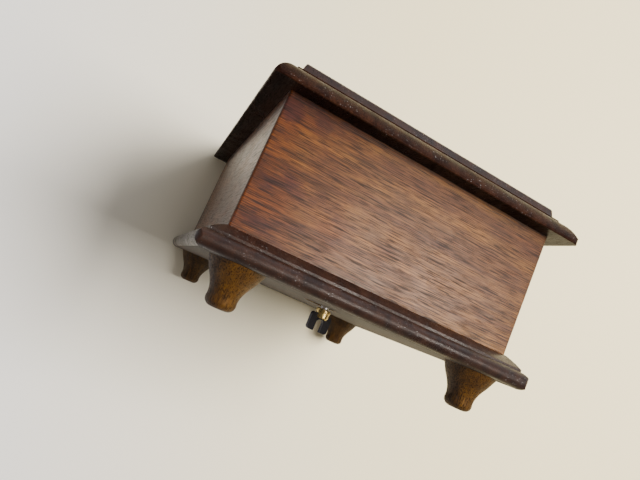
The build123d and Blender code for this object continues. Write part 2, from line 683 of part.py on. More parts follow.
def pinned_cylinder():
    """Brass tube with the tune's pins standing out of it in one track for each note."""
    tube = bar_y(0, 0, 0, BARREL_LENGTH, CYLINDER_RADIUS)
    tube -= bar_y(0, 0, -1, BARREL_LENGTH + 1, CYLINDER_RADIUS - CYLINDER_WALL)
    pin_length = PIN_HEIGHT + 0.3
    pin = Pos(CYLINDER_RADIUS + PIN_HEIGHT - pin_length / 2, 0, 0) * Rot(0, 90, 0) * Cylinder(
        MUSIC_PIN_RADIUS, pin_length,
    )
    first = BARREL_LENGTH / 2 - (NOTES - 1) * NOTE_PITCH / 2
    pins = []
    for note in range(NOTES):
        for beat in range(PINS_PER_TRACK):
            angle = beat * 60 + (note * 47 + beat * beat * 11) % 48
            pins.append(Pos(0, first + note * NOTE_PITCH, 0) * Rot(0, angle, 0) * pin)
    tube += pins
    return Pos(WIND_X, BARREL_Y, CYLINDER_Z) * tube


def cylinder_discs():
    """The two discs that hold the pinned tube on its shaft."""
    discs = []
    for y in (BARREL_Y + 0.6, BARREL_Y + BARREL_LENGTH - 1.8):
        disc = bar_y(WIND_X, CYLINDER_Z, y, y + 1.2, CYLINDER_RADIUS - CYLINDER_WALL - 0.03)
        discs.append(disc - bar_y(WIND_X, CYLINDER_Z, y - 1, y + 3, SHAFT_RADIUS + 0.02))
    return discs


def governor_pinion():
    """Steel arbor of the governor wheel, with its pinion cut on it. A gap faces the cylinder's gear."""
    face = gear_face(GOVERNOR_PINION_TEETH, GEAR_MODULE, 0.36, GOVERNOR_ANGLE - 180 + 18)
    pinion = extrude(Plane.XZ * face, amount=GEAR_WIDTH, dir=(0, 1, 0))
    pinion = Pos(GOVERNOR_X, CYLINDER_GEAR_Y, GOVERNOR_Z) * pinion
    return pinion + bar_y(
        GOVERNOR_X, GOVERNOR_Z, POST_Y - 0.4, BACK_PLATE_Y + BRACKET_THICKNESS + 0.3, GOVERNOR_SHAFT_RADIUS,
    )


def governor_wheel():
    """Worm wheel with slanted teeth, as steep as the worm's thread. A tooth faces up at rest."""
    slope = WORM_LEAD / (2 * math.pi * WORM_PITCH_RADIUS)
    twist = math.degrees(slope * WHEEL_WIDTH / (WHEEL_TEETH * GEAR_MODULE / 2))
    faces = []
    for share in (0.0, 1.0):
        phase = 90 - twist * (share - 0.5)
        face = gear_face(WHEEL_TEETH, GEAR_MODULE, 0.32, phase, addendum=0.8, dedendum=1.1)
        faces.append(Pos(0, share * WHEEL_WIDTH, 0) * (Plane.XZ * face))
    wheel = Pos(GOVERNOR_X, WHEEL_Y, GOVERNOR_Z) * loft(faces, ruled=True)
    return wheel - bar_y(GOVERNOR_X, GOVERNOR_Z, WHEEL_Y - 1, WHEEL_Y + 3, GOVERNOR_SHAFT_RADIUS + 0.02)


def worm_section(angle):
    """Section across the two-start worm: a round core with two blunt lobes."""
    points = []
    for start in (0, 180):
        for radius, offset in (
            (WORM_ROOT_RADIUS, -40), (WORM_TIP_RADIUS, -17), (WORM_TIP_RADIUS, 17), (WORM_ROOT_RADIUS, 40),
            (WORM_ROOT_RADIUS, 65), (WORM_ROOT_RADIUS, 90), (WORM_ROOT_RADIUS, 115),
        ):
            turn = math.radians(angle + start + offset)
            points.append((radius * math.cos(turn), radius * math.sin(turn)))
    return make_face(Polyline(*points, close=True).edges())


def worm():
    """Two-start worm and its shaft. A gap of the thread faces down over the wheel's centre."""
    steps = 26
    sections = []
    for index in range(steps + 1):
        x = -WORM_LENGTH / 2 + WORM_LENGTH * index / steps
        sections.append(Pos(x, 0, 0) * (Plane.YZ * worm_section(360 * x / WORM_LEAD)))
    thread = Pos(GOVERNOR_X, WORM_Y, WORM_Z) * loft(sections, ruled=True)
    end = GOVERNOR_X + WORM_LENGTH / 2 + 2.3
    return thread + bar_x(WORM_Y, WORM_Z, WIND_X - 18.7, end, WORM_SHAFT_RADIUS)


def fan():
    """Air brake: a thin two-winged plate on a hub at the worm shaft's end."""
    high = WIND_X - 14.6
    hub = bar_x(WORM_Y, WORM_Z, high - FAN_LENGTH, high + 0.8, 1.1)
    wings = block(
        high - FAN_LENGTH, high, WORM_Y - FAN_THICKNESS / 2, WORM_Y + FAN_THICKNESS / 2,
        WORM_Z - FAN_RADIUS + 0.1, WORM_Z + FAN_RADIUS - 0.1,
    )
    wings = fillet(wings.edges().filter_by(Axis.Y), 0.8)
    return hub + wings - bar_x(WORM_Y, WORM_Z, high - FAN_LENGTH - 1, high + 2, WORM_SHAFT_RADIUS + 0.02)


# ---------------------------------------------------------------- movement's frame and comb


def movement_screw_places():
    """Where the bedplate is screwed to the base board."""
    return [(WIND_X - 12.5, WIND_Y - 11), (WIND_X + 12.5, WIND_Y - 11), (WIND_X + 14, WIND_Y + 40)]


def frame_screw_places():
    """Where the bearing bracket and the governor frame are screwed to the bedplate."""
    return [
        (WIND_X - 3.6, BRACKET_Y + 4.2), (WIND_X + 3.6, BRACKET_Y + 4.2),
        (WIND_X - 11.2, POST_Y + 0.6), (WIND_X + 0.6, POST_Y + 0.6),
    ]


def bedplate():
    """Cast bedplate with a raised seat for the comb and a stud for the click."""
    low_x, high_x, low_y, high_y = WIND_X - 15.2, COMB_END_X + 0.6, WIND_Y - 14, WIND_Y + 44.3
    plate = block(low_x, high_x, low_y, high_y, BASE_TOP, BED_TOP)
    plate = fillet(plate.edges().filter_by(Axis.Z), 3.0)
    seat_top = CYLINDER_Z - COMB_THICKNESS / 2
    half = NOTES * NOTE_PITCH / 2 + 1.2
    seat = block(COMB_ROOT_X + 0.6, COMB_END_X + 0.4, COMB_Y - half, COMB_Y + half, BED_TOP - 0.5, seat_top)
    seat = fillet(seat.edges().filter_by(Axis.Z), 0.8)
    plate += seat
    plate += post(CLICK_PIVOT_X, CLICK_PIVOT_Y, BED_TOP - 0.5, RATCHET_BOTTOM + RATCHET_THICKNESS + 0.2,
                  CLICK_STUD_RADIUS)
    plate -= post(WIND_X, WIND_Y, BASE_TOP - 1, BED_TOP + 1, ARBOR_RADIUS + RUNNING)
    for x, y in movement_screw_places():
        plate -= post(x, y, BASE_TOP - 1, BED_TOP + 1, SCREW_RADIUS + GLUE_GAP)
    for x, y in frame_screw_places():
        plate -= post(x, y, BASE_TOP - 1, BED_TOP + 1, SCREW_RADIUS + GLUE_GAP)
    for x, y in comb_screw_places():
        plate -= post(x, y, seat_top - 5, seat_top + 1, SCREW_RADIUS + GLUE_GAP)
    return plate


def bearing_bracket():
    """Bent plate that carries the shaft between the pinion and the pinned cylinder."""
    plate = block(
        WIND_X - 3.2, WIND_X + 3.2, BRACKET_Y, BRACKET_Y + BRACKET_THICKNESS, BED_TOP, CYLINDER_Z + 3.2,
    )
    plate = fillet(plate.edges().filter_by(Axis.Y).group_by(Axis.Z)[-1], 3.0)
    foot = block(WIND_X - 6, WIND_X + 6, BRACKET_Y, BRACKET_Y + 6.4, BED_TOP, BED_TOP + 1.2)
    foot = fillet(foot.edges().filter_by(Axis.Z).group_by(Axis.Y)[-1], 1.5)
    bracket = plate + foot
    bracket -= bar_y(WIND_X, CYLINDER_Z, BRACKET_Y - 1, BRACKET_Y + 3, SHAFT_RADIUS + RUNNING)
    for x, y in frame_screw_places()[:2]:
        bracket -= post(x, y, BED_TOP - 1, BED_TOP + 3, SCREW_RADIUS + GLUE_GAP)
    return bracket


def governor_frame():
    """Back plate, foot, front post and two cheeks that carry the last wheels and the stop wire."""
    low, high = WIND_X - 13.0, WIND_X + 3.2
    top = BED_TOP + 1.2
    frame = block(low, high, POST_Y - 0.8, BACK_PLATE_Y + BRACKET_THICKNESS, BED_TOP, top)
    plate = block(low, high, BACK_PLATE_Y, BACK_PLATE_Y + BRACKET_THICKNESS, BED_TOP, 48.6)
    frame += fillet(plate.edges().filter_by(Axis.Y).group_by(Axis.Z)[-1], 2.0)
    frame += block(GOVERNOR_X - 2, GOVERNOR_X + 2, POST_Y, POST_Y + 1.2, BED_TOP, GOVERNOR_Z + 1.8)
    for x in (WIND_X - 12.2, WIND_X - 1.8):
        frame += block(x, x + 1.2, WORM_Y - 1.1, BACK_PLATE_Y + 0.2, WORM_Z - 2.1, WORM_Z + 2.1)
        frame -= bar_x(WORM_Y, WORM_Z, x - 0.5, x + 1.7, WORM_SHAFT_RADIUS + RUNNING)
    frame += bar_y(STOP_PIVOT_X, STOP_PIVOT_Z, WIRE_Y - 0.8, BACK_PLATE_Y + 0.2, STOP_STUD_RADIUS)
    end = BACK_PLATE_Y + 3
    frame -= bar_y(WIND_X, CYLINDER_Z, BACK_PLATE_Y - 1, end, SHAFT_RADIUS + RUNNING)
    frame -= bar_y(GOVERNOR_X, GOVERNOR_Z, POST_Y - 1, end, GOVERNOR_SHAFT_RADIUS + RUNNING)
    for x, y in frame_screw_places()[2:]:
        frame -= post(x, y, BED_TOP - 1, BED_TOP + 3, SCREW_RADIUS + GLUE_GAP)
    return frame


def comb_screw_places():
    """Where the comb is screwed to its seat."""
    x = (COMB_ROOT_X + COMB_END_X) / 2 + 0.8
    return [(x, COMB_Y + offset) for offset in (-8, 0, 8)]


def comb():
    """Steel comb: a root bar and one tooth for each note, shorter towards the treble."""
    half = NOTES * NOTE_PITCH / 2
    low = CYLINDER_Z - COMB_THICKNESS / 2
    plate = block(COMB_TIP_X, COMB_END_X, COMB_Y - half, COMB_Y + half, low, low + COMB_THICKNESS)
    slots = []
    for index in range(1, NOTES):
        y = COMB_Y - half + index * NOTE_PITCH
        end = COMB_ROOT_X - 0.22 * index
        slots.append(block(COMB_TIP_X - 1, end, y - COMB_SLOT / 2, y + COMB_SLOT / 2, low - 1, low + 2))
    plate -= slots
    for x, y in comb_screw_places():
        plate -= post(x, y, low - 1, low + 2, SCREW_RADIUS + GLUE_GAP)
    return plate


def stop_wire():
    """Spring wire from its stud, along over the fan and up to the lid's lining."""
    path = FilletPolyline(
        (STOP_PIVOT_X - 1.1, WIRE_Y, STOP_PIVOT_Z), (STOP_FINGER_X + 3.4, WIRE_Y, STOP_FINGER_Z),
        (STOP_FINGER_X, WIRE_Y, STOP_FINGER_Z), (STOP_FINGER_X, WIRE_Y, STOP_TIP_Z), radius=1.2,
    )
    start = Plane(origin=path @ 0, z_dir=path % 0)
    wire = sweep(start * Circle(WIRE_RADIUS), path=path)
    eye = bar_y(STOP_PIVOT_X, STOP_PIVOT_Z, WIRE_Y - WIRE_RADIUS, WIRE_Y + WIRE_RADIUS, 1.6)
    hole = bar_y(STOP_PIVOT_X, STOP_PIVOT_Z, WIRE_Y - 2, WIRE_Y + 2, STOP_STUD_RADIUS + RUNNING)
    return wire + eye - hole


def screws_at(places, top, head_radius, head_height, shank_radius, length):
    """A group of cheese-head screws standing on one level."""
    screw = cheese_head_screw(head_radius, head_height, shank_radius, length)
    return [Pos(x, y, top) * screw for x, y in places]


def build():
    """Every piece of the music box by node name."""
    pieces = {
        "base_board": base_board(),
        "front_panel": side_panel(-1),
        "rear_panel": rear_panel(),
        "left_end_panel": end_panel(-1),
        "right_end_panel": end_panel(1),
        "divider": divider(),
        "front_cleat": cleat(-1),
        "rear_cleat": cleat(1),
        "movement_cover": movement_cover(),
        "floor_felt": floor_felt(),
        "lid_board": lid_board(),
        "lid_top_panel": lid_top_panel(),
        "lid_lining": lid_lining(),
        "body_leaf_screws": hinge_screws(body_screw_places, BODY_SCREW_LENGTH),
        "lid_leaf_screws": hinge_screws(lid_screw_places, LID_SCREW_LENGTH),
        "key_hub": key_hub(),
        "key_wing": key_wing(),
        "winding_arbor": winding_arbor(),
        "ratchet_wheel": ratchet_wheel(),
        "click": click(),
        "drum_cup": drum_cup(),
        "drum_cover": drum_cover(),
        "mainspring": mainspring(),
        "cylinder_pinion": cylinder_pinion(),
        "cylinder_gear": cylinder_gear(),
        "cylinder_shaft": cylinder_shaft(),
        "pinned_cylinder": pinned_cylinder(),
        "cylinder_discs": cylinder_discs(),
        "governor_pinion": governor_pinion(),
        "governor_wheel": governor_wheel(),
        "governor_worm": worm(),
        "governor_fan": fan(),
        "bedplate": bedplate(),
        "bearing_bracket": bearing_bracket(),
        "governor_frame": governor_frame(),
        "comb": comb(),
        "stop_wire": stop_wire(),
        "movement_screws": screws_at(movement_screw_places(), BED_TOP, 1.9, 1.4, SCREW_RADIUS, 6.8),
        "frame_screws": screws_at(frame_screw_places(), BED_TOP + 1.2, 1.4, 1.0, SCREW_RADIUS, 3.0),
        "comb_screws": screws_at(
            comb_screw_places(), CYLINDER_Z + COMB_THICKNESS / 2, 1.7, 1.1, SCREW_RADIUS, 5.0,
        ),
    }
    for name, (x, y) in zip(("front_left", "front_right", "rear_left", "rear_right"), foot_places()):
        pieces[f"foot_{name}"] = turned_foot(x, y)
    for name, hinge_x in (("left", -HINGE_X), ("right", HINGE_X)):
        pieces[f"hinge_{name}_body_leaf"] = body_leaf(hinge_x)
        pieces[f"hinge_{name}_lid_leaf"] = lid_leaf(hinge_x)
        pieces[f"hinge_{name}_pin"] = hinge_pin(hinge_x)
    return pieces


def main():
    """Write one STEP file for each piece."""
    os.makedirs("parts", exist_ok=True)
    for name, piece in build().items():
        shape = Compound(children=piece) if isinstance(piece, list) else piece
        export_step(shape, f"parts/{name}.step")


main()
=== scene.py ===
"""Finishes and soft goods of a small wind-up music box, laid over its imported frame."""

import math

import bpy
from bpy.props import FloatProperty, FloatVectorProperty, PointerProperty
from mathutils import Matrix, Vector


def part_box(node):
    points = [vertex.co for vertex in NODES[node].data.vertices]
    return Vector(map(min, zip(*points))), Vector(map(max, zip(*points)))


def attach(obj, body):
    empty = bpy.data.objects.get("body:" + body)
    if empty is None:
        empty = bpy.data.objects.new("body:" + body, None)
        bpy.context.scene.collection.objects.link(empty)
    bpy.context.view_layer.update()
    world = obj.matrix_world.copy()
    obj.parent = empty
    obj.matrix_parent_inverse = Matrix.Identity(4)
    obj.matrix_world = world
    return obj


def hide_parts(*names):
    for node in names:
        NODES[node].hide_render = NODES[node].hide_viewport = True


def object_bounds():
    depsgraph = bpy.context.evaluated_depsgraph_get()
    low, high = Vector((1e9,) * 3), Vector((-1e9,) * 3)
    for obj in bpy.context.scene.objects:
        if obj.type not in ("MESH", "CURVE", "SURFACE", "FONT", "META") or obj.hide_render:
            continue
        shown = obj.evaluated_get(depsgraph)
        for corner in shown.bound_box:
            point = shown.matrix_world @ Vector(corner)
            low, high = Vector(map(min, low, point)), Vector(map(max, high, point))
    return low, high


bl_info = {
    "name": "Wind-up music box",
    "version": (1, 0, 0),
    "blender": (4, 5, 0),
    "location": "View3D > Sidebar > Music Box",
    "description": "Stains, metals and felts of a key-wound music box, with its stage",
    "category": "Object",
}

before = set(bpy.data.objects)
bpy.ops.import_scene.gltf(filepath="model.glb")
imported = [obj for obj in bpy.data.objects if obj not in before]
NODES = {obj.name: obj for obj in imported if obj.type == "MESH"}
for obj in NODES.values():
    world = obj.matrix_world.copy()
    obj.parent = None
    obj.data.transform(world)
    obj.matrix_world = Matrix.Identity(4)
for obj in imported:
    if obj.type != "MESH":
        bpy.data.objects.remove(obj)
CAD_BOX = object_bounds()

# The box, in metres: X runs along its length, Y across it and Z up from the feet.
INNER_HALF_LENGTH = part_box("right_end_panel")[0].x
INNER_HALF_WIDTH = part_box("divider")[1].y
BASE_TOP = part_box("right_end_panel")[0].z
BASE_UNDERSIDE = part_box("base_board")[0].z
HUB_LOW, HUB_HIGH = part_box("key_hub")
KEY_X = (HUB_LOW.x + HUB_HIGH.x) / 2
KEY_HOLE_SHIFT = -0.002
KEY_HOLE_Y = (HUB_LOW.y + HUB_HIGH.y) / 2 + KEY_HOLE_SHIFT
KEY_HOLE_RADIUS = 0.006
MM = 0.001

# Sizes of the grain, the wear with its painted crevice shade, and the smears on each kind of wood,
# in metres.
PANEL_GRAIN = {"pore_length": 0.008, "pore_width": 0.00024, "figure_width": 0.006}
PANEL_WEAR_AND_SHADE = {"radius": 0.0006, "crevice": 0.004, "break_up": 300.0}
PANEL_DIRT = {"speck_size": 0.0005, "smear_size": 0.02}
TRIM_GRAIN = {"pore_length": 0.003, "pore_width": 0.00036, "figure_width": 0.004}
TRIM_WEAR_AND_SHADE = {"radius": 0.0005, "crevice": 0.003, "break_up": 380.0}
TRIM_DIRT = {"speck_size": 0.00045, "smear_size": 0.015}
PLAIN_GRAIN = {"pore_length": 0.0028, "pore_width": 0.00026, "figure_width": 0.0022}
PLAIN_WEAR_AND_SHADE = {"radius": 0.0005, "crevice": 0.003, "break_up": 500.0}

PANEL_GLOSS = 0.4
PANEL_COAT = 0.05
PANEL_COAT_ROUGHNESS = 0.3
BASE_GLOSS = 0.4
LID_BOARD_GLOSS = 0.04
LID_PANEL_GLOSS = 0.5
TRIM_COAT = 0.02
TRIM_COAT_ROUGHNESS = 0.16
PLAIN_GLOSS = 0.25
BARE_ROUGHNESS = 0.75
UNDERSIDE_ROUGHNESS = 0.8

# The stage: sizes and places in metres, and the camera's axes.
PAPER_GAP = 0.0002
PAPER_REACH = 1.6
LAMP_DISTANCE = 0.9
AIM_POINT = (0.0, 0.0, 0.04)
ROOM_STRENGTH = 0.55
CAMERA_PLACE = (0.2025, -0.0656, 0.0085)
CAMERA_RIGHT = (0.3169, 0.8613, 0.3971)
CAMERA_BACK = (0.9484, -0.2829, -0.1431)
SENSOR_WIDTH = 36.0

# How near a felt's vertex lies to its rim or face to count as on it.
ON_FACE = 1e-5

ALONG_X = "X"
ALONG_Y = "Y"
ALONG_Z = "Z"


# ---------------------------------------------------------------- node helpers


class Tree:
    """A node tree being wired, with one short call for each kind of step."""

    def __init__(self, tree):
        self.tree = tree

    def add(self, kind, **settings):
        node = self.tree.nodes.new(kind)
        for name, value in settings.items():
            setattr(node, name, value)
        return node

    def feed(self, socket, value):
        if isinstance(value, bpy.types.NodeSocket):
            self.tree.links.new(value, socket)
        elif value is not None:
            socket.default_value = value

    def math(self, operation, first, second=None):
        node = self.add("ShaderNodeMath", operation=operation)
        self.feed(node.inputs[0], first)
        self.feed(node.inputs[1], second)
        return node.outputs[0]

    def vector(self, operation, first, second=None, scale=None):
        node = self.add("ShaderNodeVectorMath", operation=operation)
        self.feed(node.inputs[0], first)
        self.feed(node.inputs[1], second)
        if scale is not None:
            self.feed(node.inputs["Scale"], scale)
        return node.outputs["Value" if operation in ("DOT_PRODUCT", "LENGTH") else "Vector"]

    def split(self, vector):
        node = self.add("ShaderNodeSeparateXYZ")
        self.feed(node.inputs[0], vector)
        return node.outputs["X"], node.outputs["Y"], node.outputs["Z"]

    def join(self, x, y, z):
        node = self.add("ShaderNodeCombineXYZ")
        for socket, value in zip(node.inputs, (x, y, z)):
            self.feed(socket, value)
        return node.outputs[0]

    def noise(self, vector, scale=1.0, detail=2.0, roughness=0.5, distortion=0.0):
        node = self.add("ShaderNodeTexNoise")
        self.feed(node.inputs["Vector"], vector)
        self.feed(node.inputs["Scale"], scale)
        self.feed(node.inputs["Detail"], detail)
        self.feed(node.inputs["Roughness"], roughness)
        self.feed(node.inputs["Distortion"], distortion)
        return node.outputs["Fac"]

    def between(self, value, low, high, to_low=0.0, to_high=1.0):
        node = self.add("ShaderNodeMapRange", interpolation_type="SMOOTHSTEP")
        self.feed(node.inputs["Value"], value)
        self.feed(node.inputs["From Min"], low)
        self.feed(node.inputs["From Max"], high)
        self.feed(node.inputs["To Min"], to_low)
        self.feed(node.inputs["To Max"], to_high)
        return node.outputs["Result"]

    def blend(self, share, first, second, mode="MIX"):
        node = self.add("ShaderNodeMix", data_type="RGBA", blend_type=mode)
        self.feed(node.inputs["Factor"], share)
        self.feed(node.inputs[6], opaque(first))
        self.feed(node.inputs[7], opaque(second))
        return node.outputs[2]

    def cover(self, mask, share, under, over):
        """One colour laid over another through part of a mask."""
        return self.blend(self.math("MULTIPLY", mask, share), under, over)

    def bump(self, height, distance, strength=1.0):
        node = self.add("ShaderNodeBump")
        self.feed(node.inputs["Height"], height)
        node.inputs["Distance"].default_value = distance
        node.inputs["Strength"].default_value = strength
        return node.outputs["Normal"]

    def place(self):
        return self.add("ShaderNodeTexCoord").outputs["Object"]

    def use(self, group, **values):
        node = self.add("ShaderNodeGroup", node_tree=group)
        for name, value in values.items():
            self.feed(node.inputs[name.replace("_", " ").title()], value)
        return node.outputs


def opaque(colour):
    """A colour with its alpha, where it is given as three numbers."""
    if isinstance(colour, bpy.types.NodeSocket) or colour is None:
        return colour
    return (*tuple(colour)[:3], 1.0)


def shade(colour, factor):
    """A colour made lighter or darker by one factor."""
    return tuple(min(1.0, channel * factor) for channel in tuple(colour)[:3])


def new_group(name, inputs, outputs):
    """An empty shader node group with named sockets, and its in and out nodes."""
    tree = bpy.data.node_groups.new(name, "ShaderNodeTree")
    for title, kind, default in inputs:
        socket = tree.interface.new_socket(title, in_out="INPUT", socket_type=kind)
        if default is not None:
            socket.default_value = default
    for title, kind in outputs:
        tree.interface.new_socket(title, in_out="OUTPUT", socket_type=kind)
    steps = Tree(tree)
    return tree, steps, steps.add("NodeGroupInput").outputs, steps.add("NodeGroupOutput").inputs


# ---------------------------------------------------------------- shared effects


def in_cells(t, place, size):
    """A place counted in cells of one size."""
    return t.vector("SCALE", place, scale=t.math("DIVIDE", 1.0, size))


def timber_group():
    """Grain of sawn wood that runs along the X of the vector it is given."""
    group, t, given, made = new_group(
        "Timber grain",
        [
            ("Vector", "NodeSocketVector", None),
            ("Pore Length", "NodeSocketFloat", 0.003),
            ("Pore Width", "NodeSocketFloat", 0.00025),
            ("Figure Width", "NodeSocketFloat", 0.005),
        ],
        [
            ("Figure", "NodeSocketFloat"),
            ("Fibre", "NodeSocketFloat"),
            ("Pores", "NodeSocketFloat"),
            ("Height", "NodeSocketFloat"),
        ],
    )
    sway = t.noise(t.vector("MULTIPLY", given["Vector"], (14.0, 70.0, 70.0)), detail=1.0)
    sway = t.math("MULTIPLY", t.math("SUBTRACT", sway, 0.5), 0.0006)
    line = t.vector("ADD", given["Vector"], t.join(0.0, sway, sway))
    width, length = given["Pore Width"], given["Pore Length"]
    pore_cell = t.join(length, width, width)
    coarse = t.noise(t.vector("DIVIDE", line, pore_cell), detail=1.0)
    shifted = t.vector("ADD", line, (0.37, 0.11, 0.23))
    fine_cell = t.vector("SCALE", pore_cell, scale=0.55)
    fine = t.noise(t.vector("DIVIDE", shifted, fine_cell), detail=1.0)
    fine_pores = t.between(fine, 0.54, 0.66, 0.0, 0.75)
    pores = t.math("MAXIMUM", t.between(coarse, 0.52, 0.62), fine_pores)
    band = given["Figure Width"]
    figure_cell = t.join(t.math("MULTIPLY", band, 13.0), band, band)
    figure = t.noise(t.vector("DIVIDE", line, figure_cell), detail=3.0, roughness=0.6)
    strand = t.math("MULTIPLY", width, 1.1)
    fibre_cell = t.join(t.math("MULTIPLY", length, 3.0), strand, strand)
    fibre = t.noise(t.vector("DIVIDE", line, fibre_cell), detail=2.0)
    t.feed(made["Figure"], t.between(figure, 0.3, 0.7))
    t.feed(made["Fibre"], fibre)
    t.feed(made["Pores"], pores)
    t.feed(made["Height"], t.math("SUBTRACT", t.math("MULTIPLY", fibre, 0.25), pores))
    return group


def wear_and_shade_group():
    """Where edges are rubbed, and where corners and crevices darken with grime and painted shade.
    """
    group, t, given, made = new_group(
        "Edge rubbing and crevice shade",
        [
            ("Radius", "NodeSocketFloat", 0.0004),
            ("Crevice", "NodeSocketFloat", 0.002),
            ("Break Up", "NodeSocketFloat", 420.0),
        ],
        [("Rubbed", "NodeSocketFloat"), ("Grime And Shade", "NodeSocketFloat")],
    )
    rounded = t.add("ShaderNodeBevel", samples=4)
    t.feed(rounded.inputs["Radius"], given["Radius"])
    level = t.add("ShaderNodeNewGeometry").outputs["Normal"]
    turned = t.math("SUBTRACT", 1.0, t.vector("DOT_PRODUCT", rounded.outputs[0], level))
    edge = t.between(turned, 0.012, 0.12)
    hollow = t.add("ShaderNodeAmbientOcclusion", samples=4, only_local=True)
    t.feed(hollow.inputs["Distance"], given["Crevice"])
    openness = hollow.outputs["AO"]
    patchy = t.between(t.noise(t.place(), given["Break Up"], 3.0, 0.65), 0.36, 0.62)
    out = t.math("MULTIPLY", edge, t.between(openness, 0.55, 0.9))
    t.feed(made["Rubbed"], t.math("MULTIPLY", out, patchy))
    # Second mask: ambient occlusion of the object's own faces, painted shade in corners and
    # crevices, also standing for grime there.
    t.feed(made["Grime And Shade"], t.between(openness, 0.25, 0.85, 1.0, 0.0))
    return group


def specks_group():
    """Scattered pale specks of dust and lint, and soft smears from handling."""
    group, t, given, made = new_group(
        "Dust and smears",
        [("Speck Size", "NodeSocketFloat", 0.0004), ("Smear Size", "NodeSocketFloat", 0.012)],
        [("Specks", "NodeSocketFloat"), ("Smears", "NodeSocketFloat")],
    )
    place = t.place()
    grains = t.noise(in_cells(t, place, given["Speck Size"]), detail=0.0)
    fields = t.noise(place, 160.0, 1.0)
    specks = t.math("MULTIPLY", t.between(grains, 0.74, 0.8), t.between(fields, 0.42, 0.6))
    smears = t.noise(
        in_cells(t, place, given["Smear Size"]),
        detail=3.0,
        roughness=0.6,
        distortion=0.8,
    )
    t.feed(made["Specks"], specks)
    t.feed(made["Smears"], t.between(smears, 0.35, 0.68))
    return group


def patina_group():
    """Blotchy tarnish and fine scratches on metal."""
    group, t, given, made = new_group(
        "Metal patina",
        [
            ("Blotch Size", "NodeSocketFloat", 0.004),
            ("Scratch Length", "NodeSocketFloat", 0.003),
        ],
        [("Tarnish", "NodeSocketFloat"), ("Scratches", "NodeSocketFloat")],
    )
    place = t.place()
    blotches = t.noise(in_cells(t, place, given["Blotch Size"]), detail=4.0, roughness=0.62)
    length = given["Scratch Length"]
    width = t.math("MULTIPLY", length, 0.02)
    cell = t.join(length, width, width)
    masks = []
    for turn in (0.5, 2.1):
        turned = t.add("ShaderNodeMapping")
        turned.inputs["Rotation"].default_value = (turn, turn * 0.7, turn * 1.3)
        t.feed(turned.inputs["Vector"], place)
        lines = t.noise(t.vector("DIVIDE", turned.outputs[0], cell), detail=1.0)
        masks.append(t.between(lines, 0.66, 0.72))
    t.feed(made["Tarnish"], t.between(blotches, 0.35, 0.7))
    t.feed(made["Scratches"], t.math("MAXIMUM", *masks))
    return group


def nap_group():
    """Matted wool fibres and the soft clumps of a felt."""
    group, t, given, made = new_group(
        "Wool nap",
        [("Fibre Width", "NodeSocketFloat", 0.00012)],
        [
            ("Fibres", "NodeSocketFloat"),
            ("Clumps", "NodeSocketFloat"),
            ("Height", "NodeSocketFloat"),
        ],
    )
    place = t.place()
    width = given["Fibre Width"]
    cell = t.join(t.math("MULTIPLY", width, 14.0), width, width)
    strands = []
    for turn in (0.2, 1.2, 2.3):
        turned = t.add("ShaderNodeMapping")
        turned.inputs["Rotation"].default_value = (0.3 * turn, 0.2, turn)
        t.feed(turned.inputs["Vector"], place)
        lines = t.vector("DIVIDE", turned.outputs[0], cell)
        strands.append(t.noise(lines, detail=1.0, distortion=0.6))
    fibres = t.math("MAXIMUM", t.math("MAXIMUM", strands[0], strands[1]), strands[2])
    clumps = t.noise(place, 260.0, 4.0, 0.7)
    t.feed(made["Fibres"], t.between(fibres, 0.45, 0.75))
    t.feed(made["Clumps"], t.between(clumps, 0.3, 0.7))
    t.feed(made["Height"], t.math("ADD", fibres, t.math("MULTIPLY", clumps, 1.4)))
    return group


def shared_group(name, build):
    """The shader group of that name, built the first time it is asked for."""
    return bpy.data.node_groups.get(name) or build()


def timber():
    return shared_group("Timber grain", timber_group)


def wear_and_shade():
    return shared_group("Edge rubbing and crevice shade", wear_and_shade_group)


def specks():
    return shared_group("Dust and smears", specks_group)


def patina():
    return shared_group("Metal patina", patina_group)


def nap():
    return shared_group("Wool nap", nap_group)


# ---------------------------------------------------------------- materials


def new_material(name):
    """A material with one Principled shader, its tree helper and that shader's inputs."""
    material = bpy.data.materials.new(name)
    material.use_nodes = True
    material.node_tree.nodes.clear()
    t = Tree(material.node_tree)
    shader = t.add("ShaderNodeBsdfPrincipled")
    t.feed(t.add("ShaderNodeOutputMaterial").inputs["Surface"], shader.outputs[0])
    return material, t, shader.inputs


def grain_line(t, along, shift=(0.0, 0.0, 0.0)):
    """The place on the object, turned so that X follows the grain, shifted to another board."""
    x, y, z = t.split(t.place())
    turned = {
        ALONG_X: lambda: t.join(x, y, z),
        ALONG_Y: lambda: t.join(y, z, x),
        ALONG_Z: lambda: t.join(z, x, y),
    }[along]()
    return t.vector("ADD", turned, shift)


def inside_mask(t):
    """One on the bare faces inside the case and nought on the stained ones; also the height."""
    x, y, z = t.split(t.place())
    near_x = t.math("LESS_THAN", t.math("ABSOLUTE", x), INNER_HALF_LENGTH + 0.2 * MM)
    near_y = t.math("LESS_THAN", t.math("ABSOLUTE", y), INNER_HALF_WIDTH + 0.2 * MM)
    return t.math("MULTIPLY", near_x, near_y), z


def streaked(t, colour, grain, low, high, dim, bright):
    """A colour made dimmer and brighter along the fibres."""
    fibre = t.between(grain["Fibre"], low, high, dim, bright)
    return t.blend(1.0, colour, t.join(fibre, fibre, fibre), "MULTIPLY")


def bare_wood(t, grain, wood):
    """The colour of the unstained wood inside the case."""
    bare = t.blend(grain["Figure"], wood.bare_light, wood.bare_dark)
    return t.cover(grain["Pores"], 0.6, bare, shade(wood.bare_dark, 0.45))


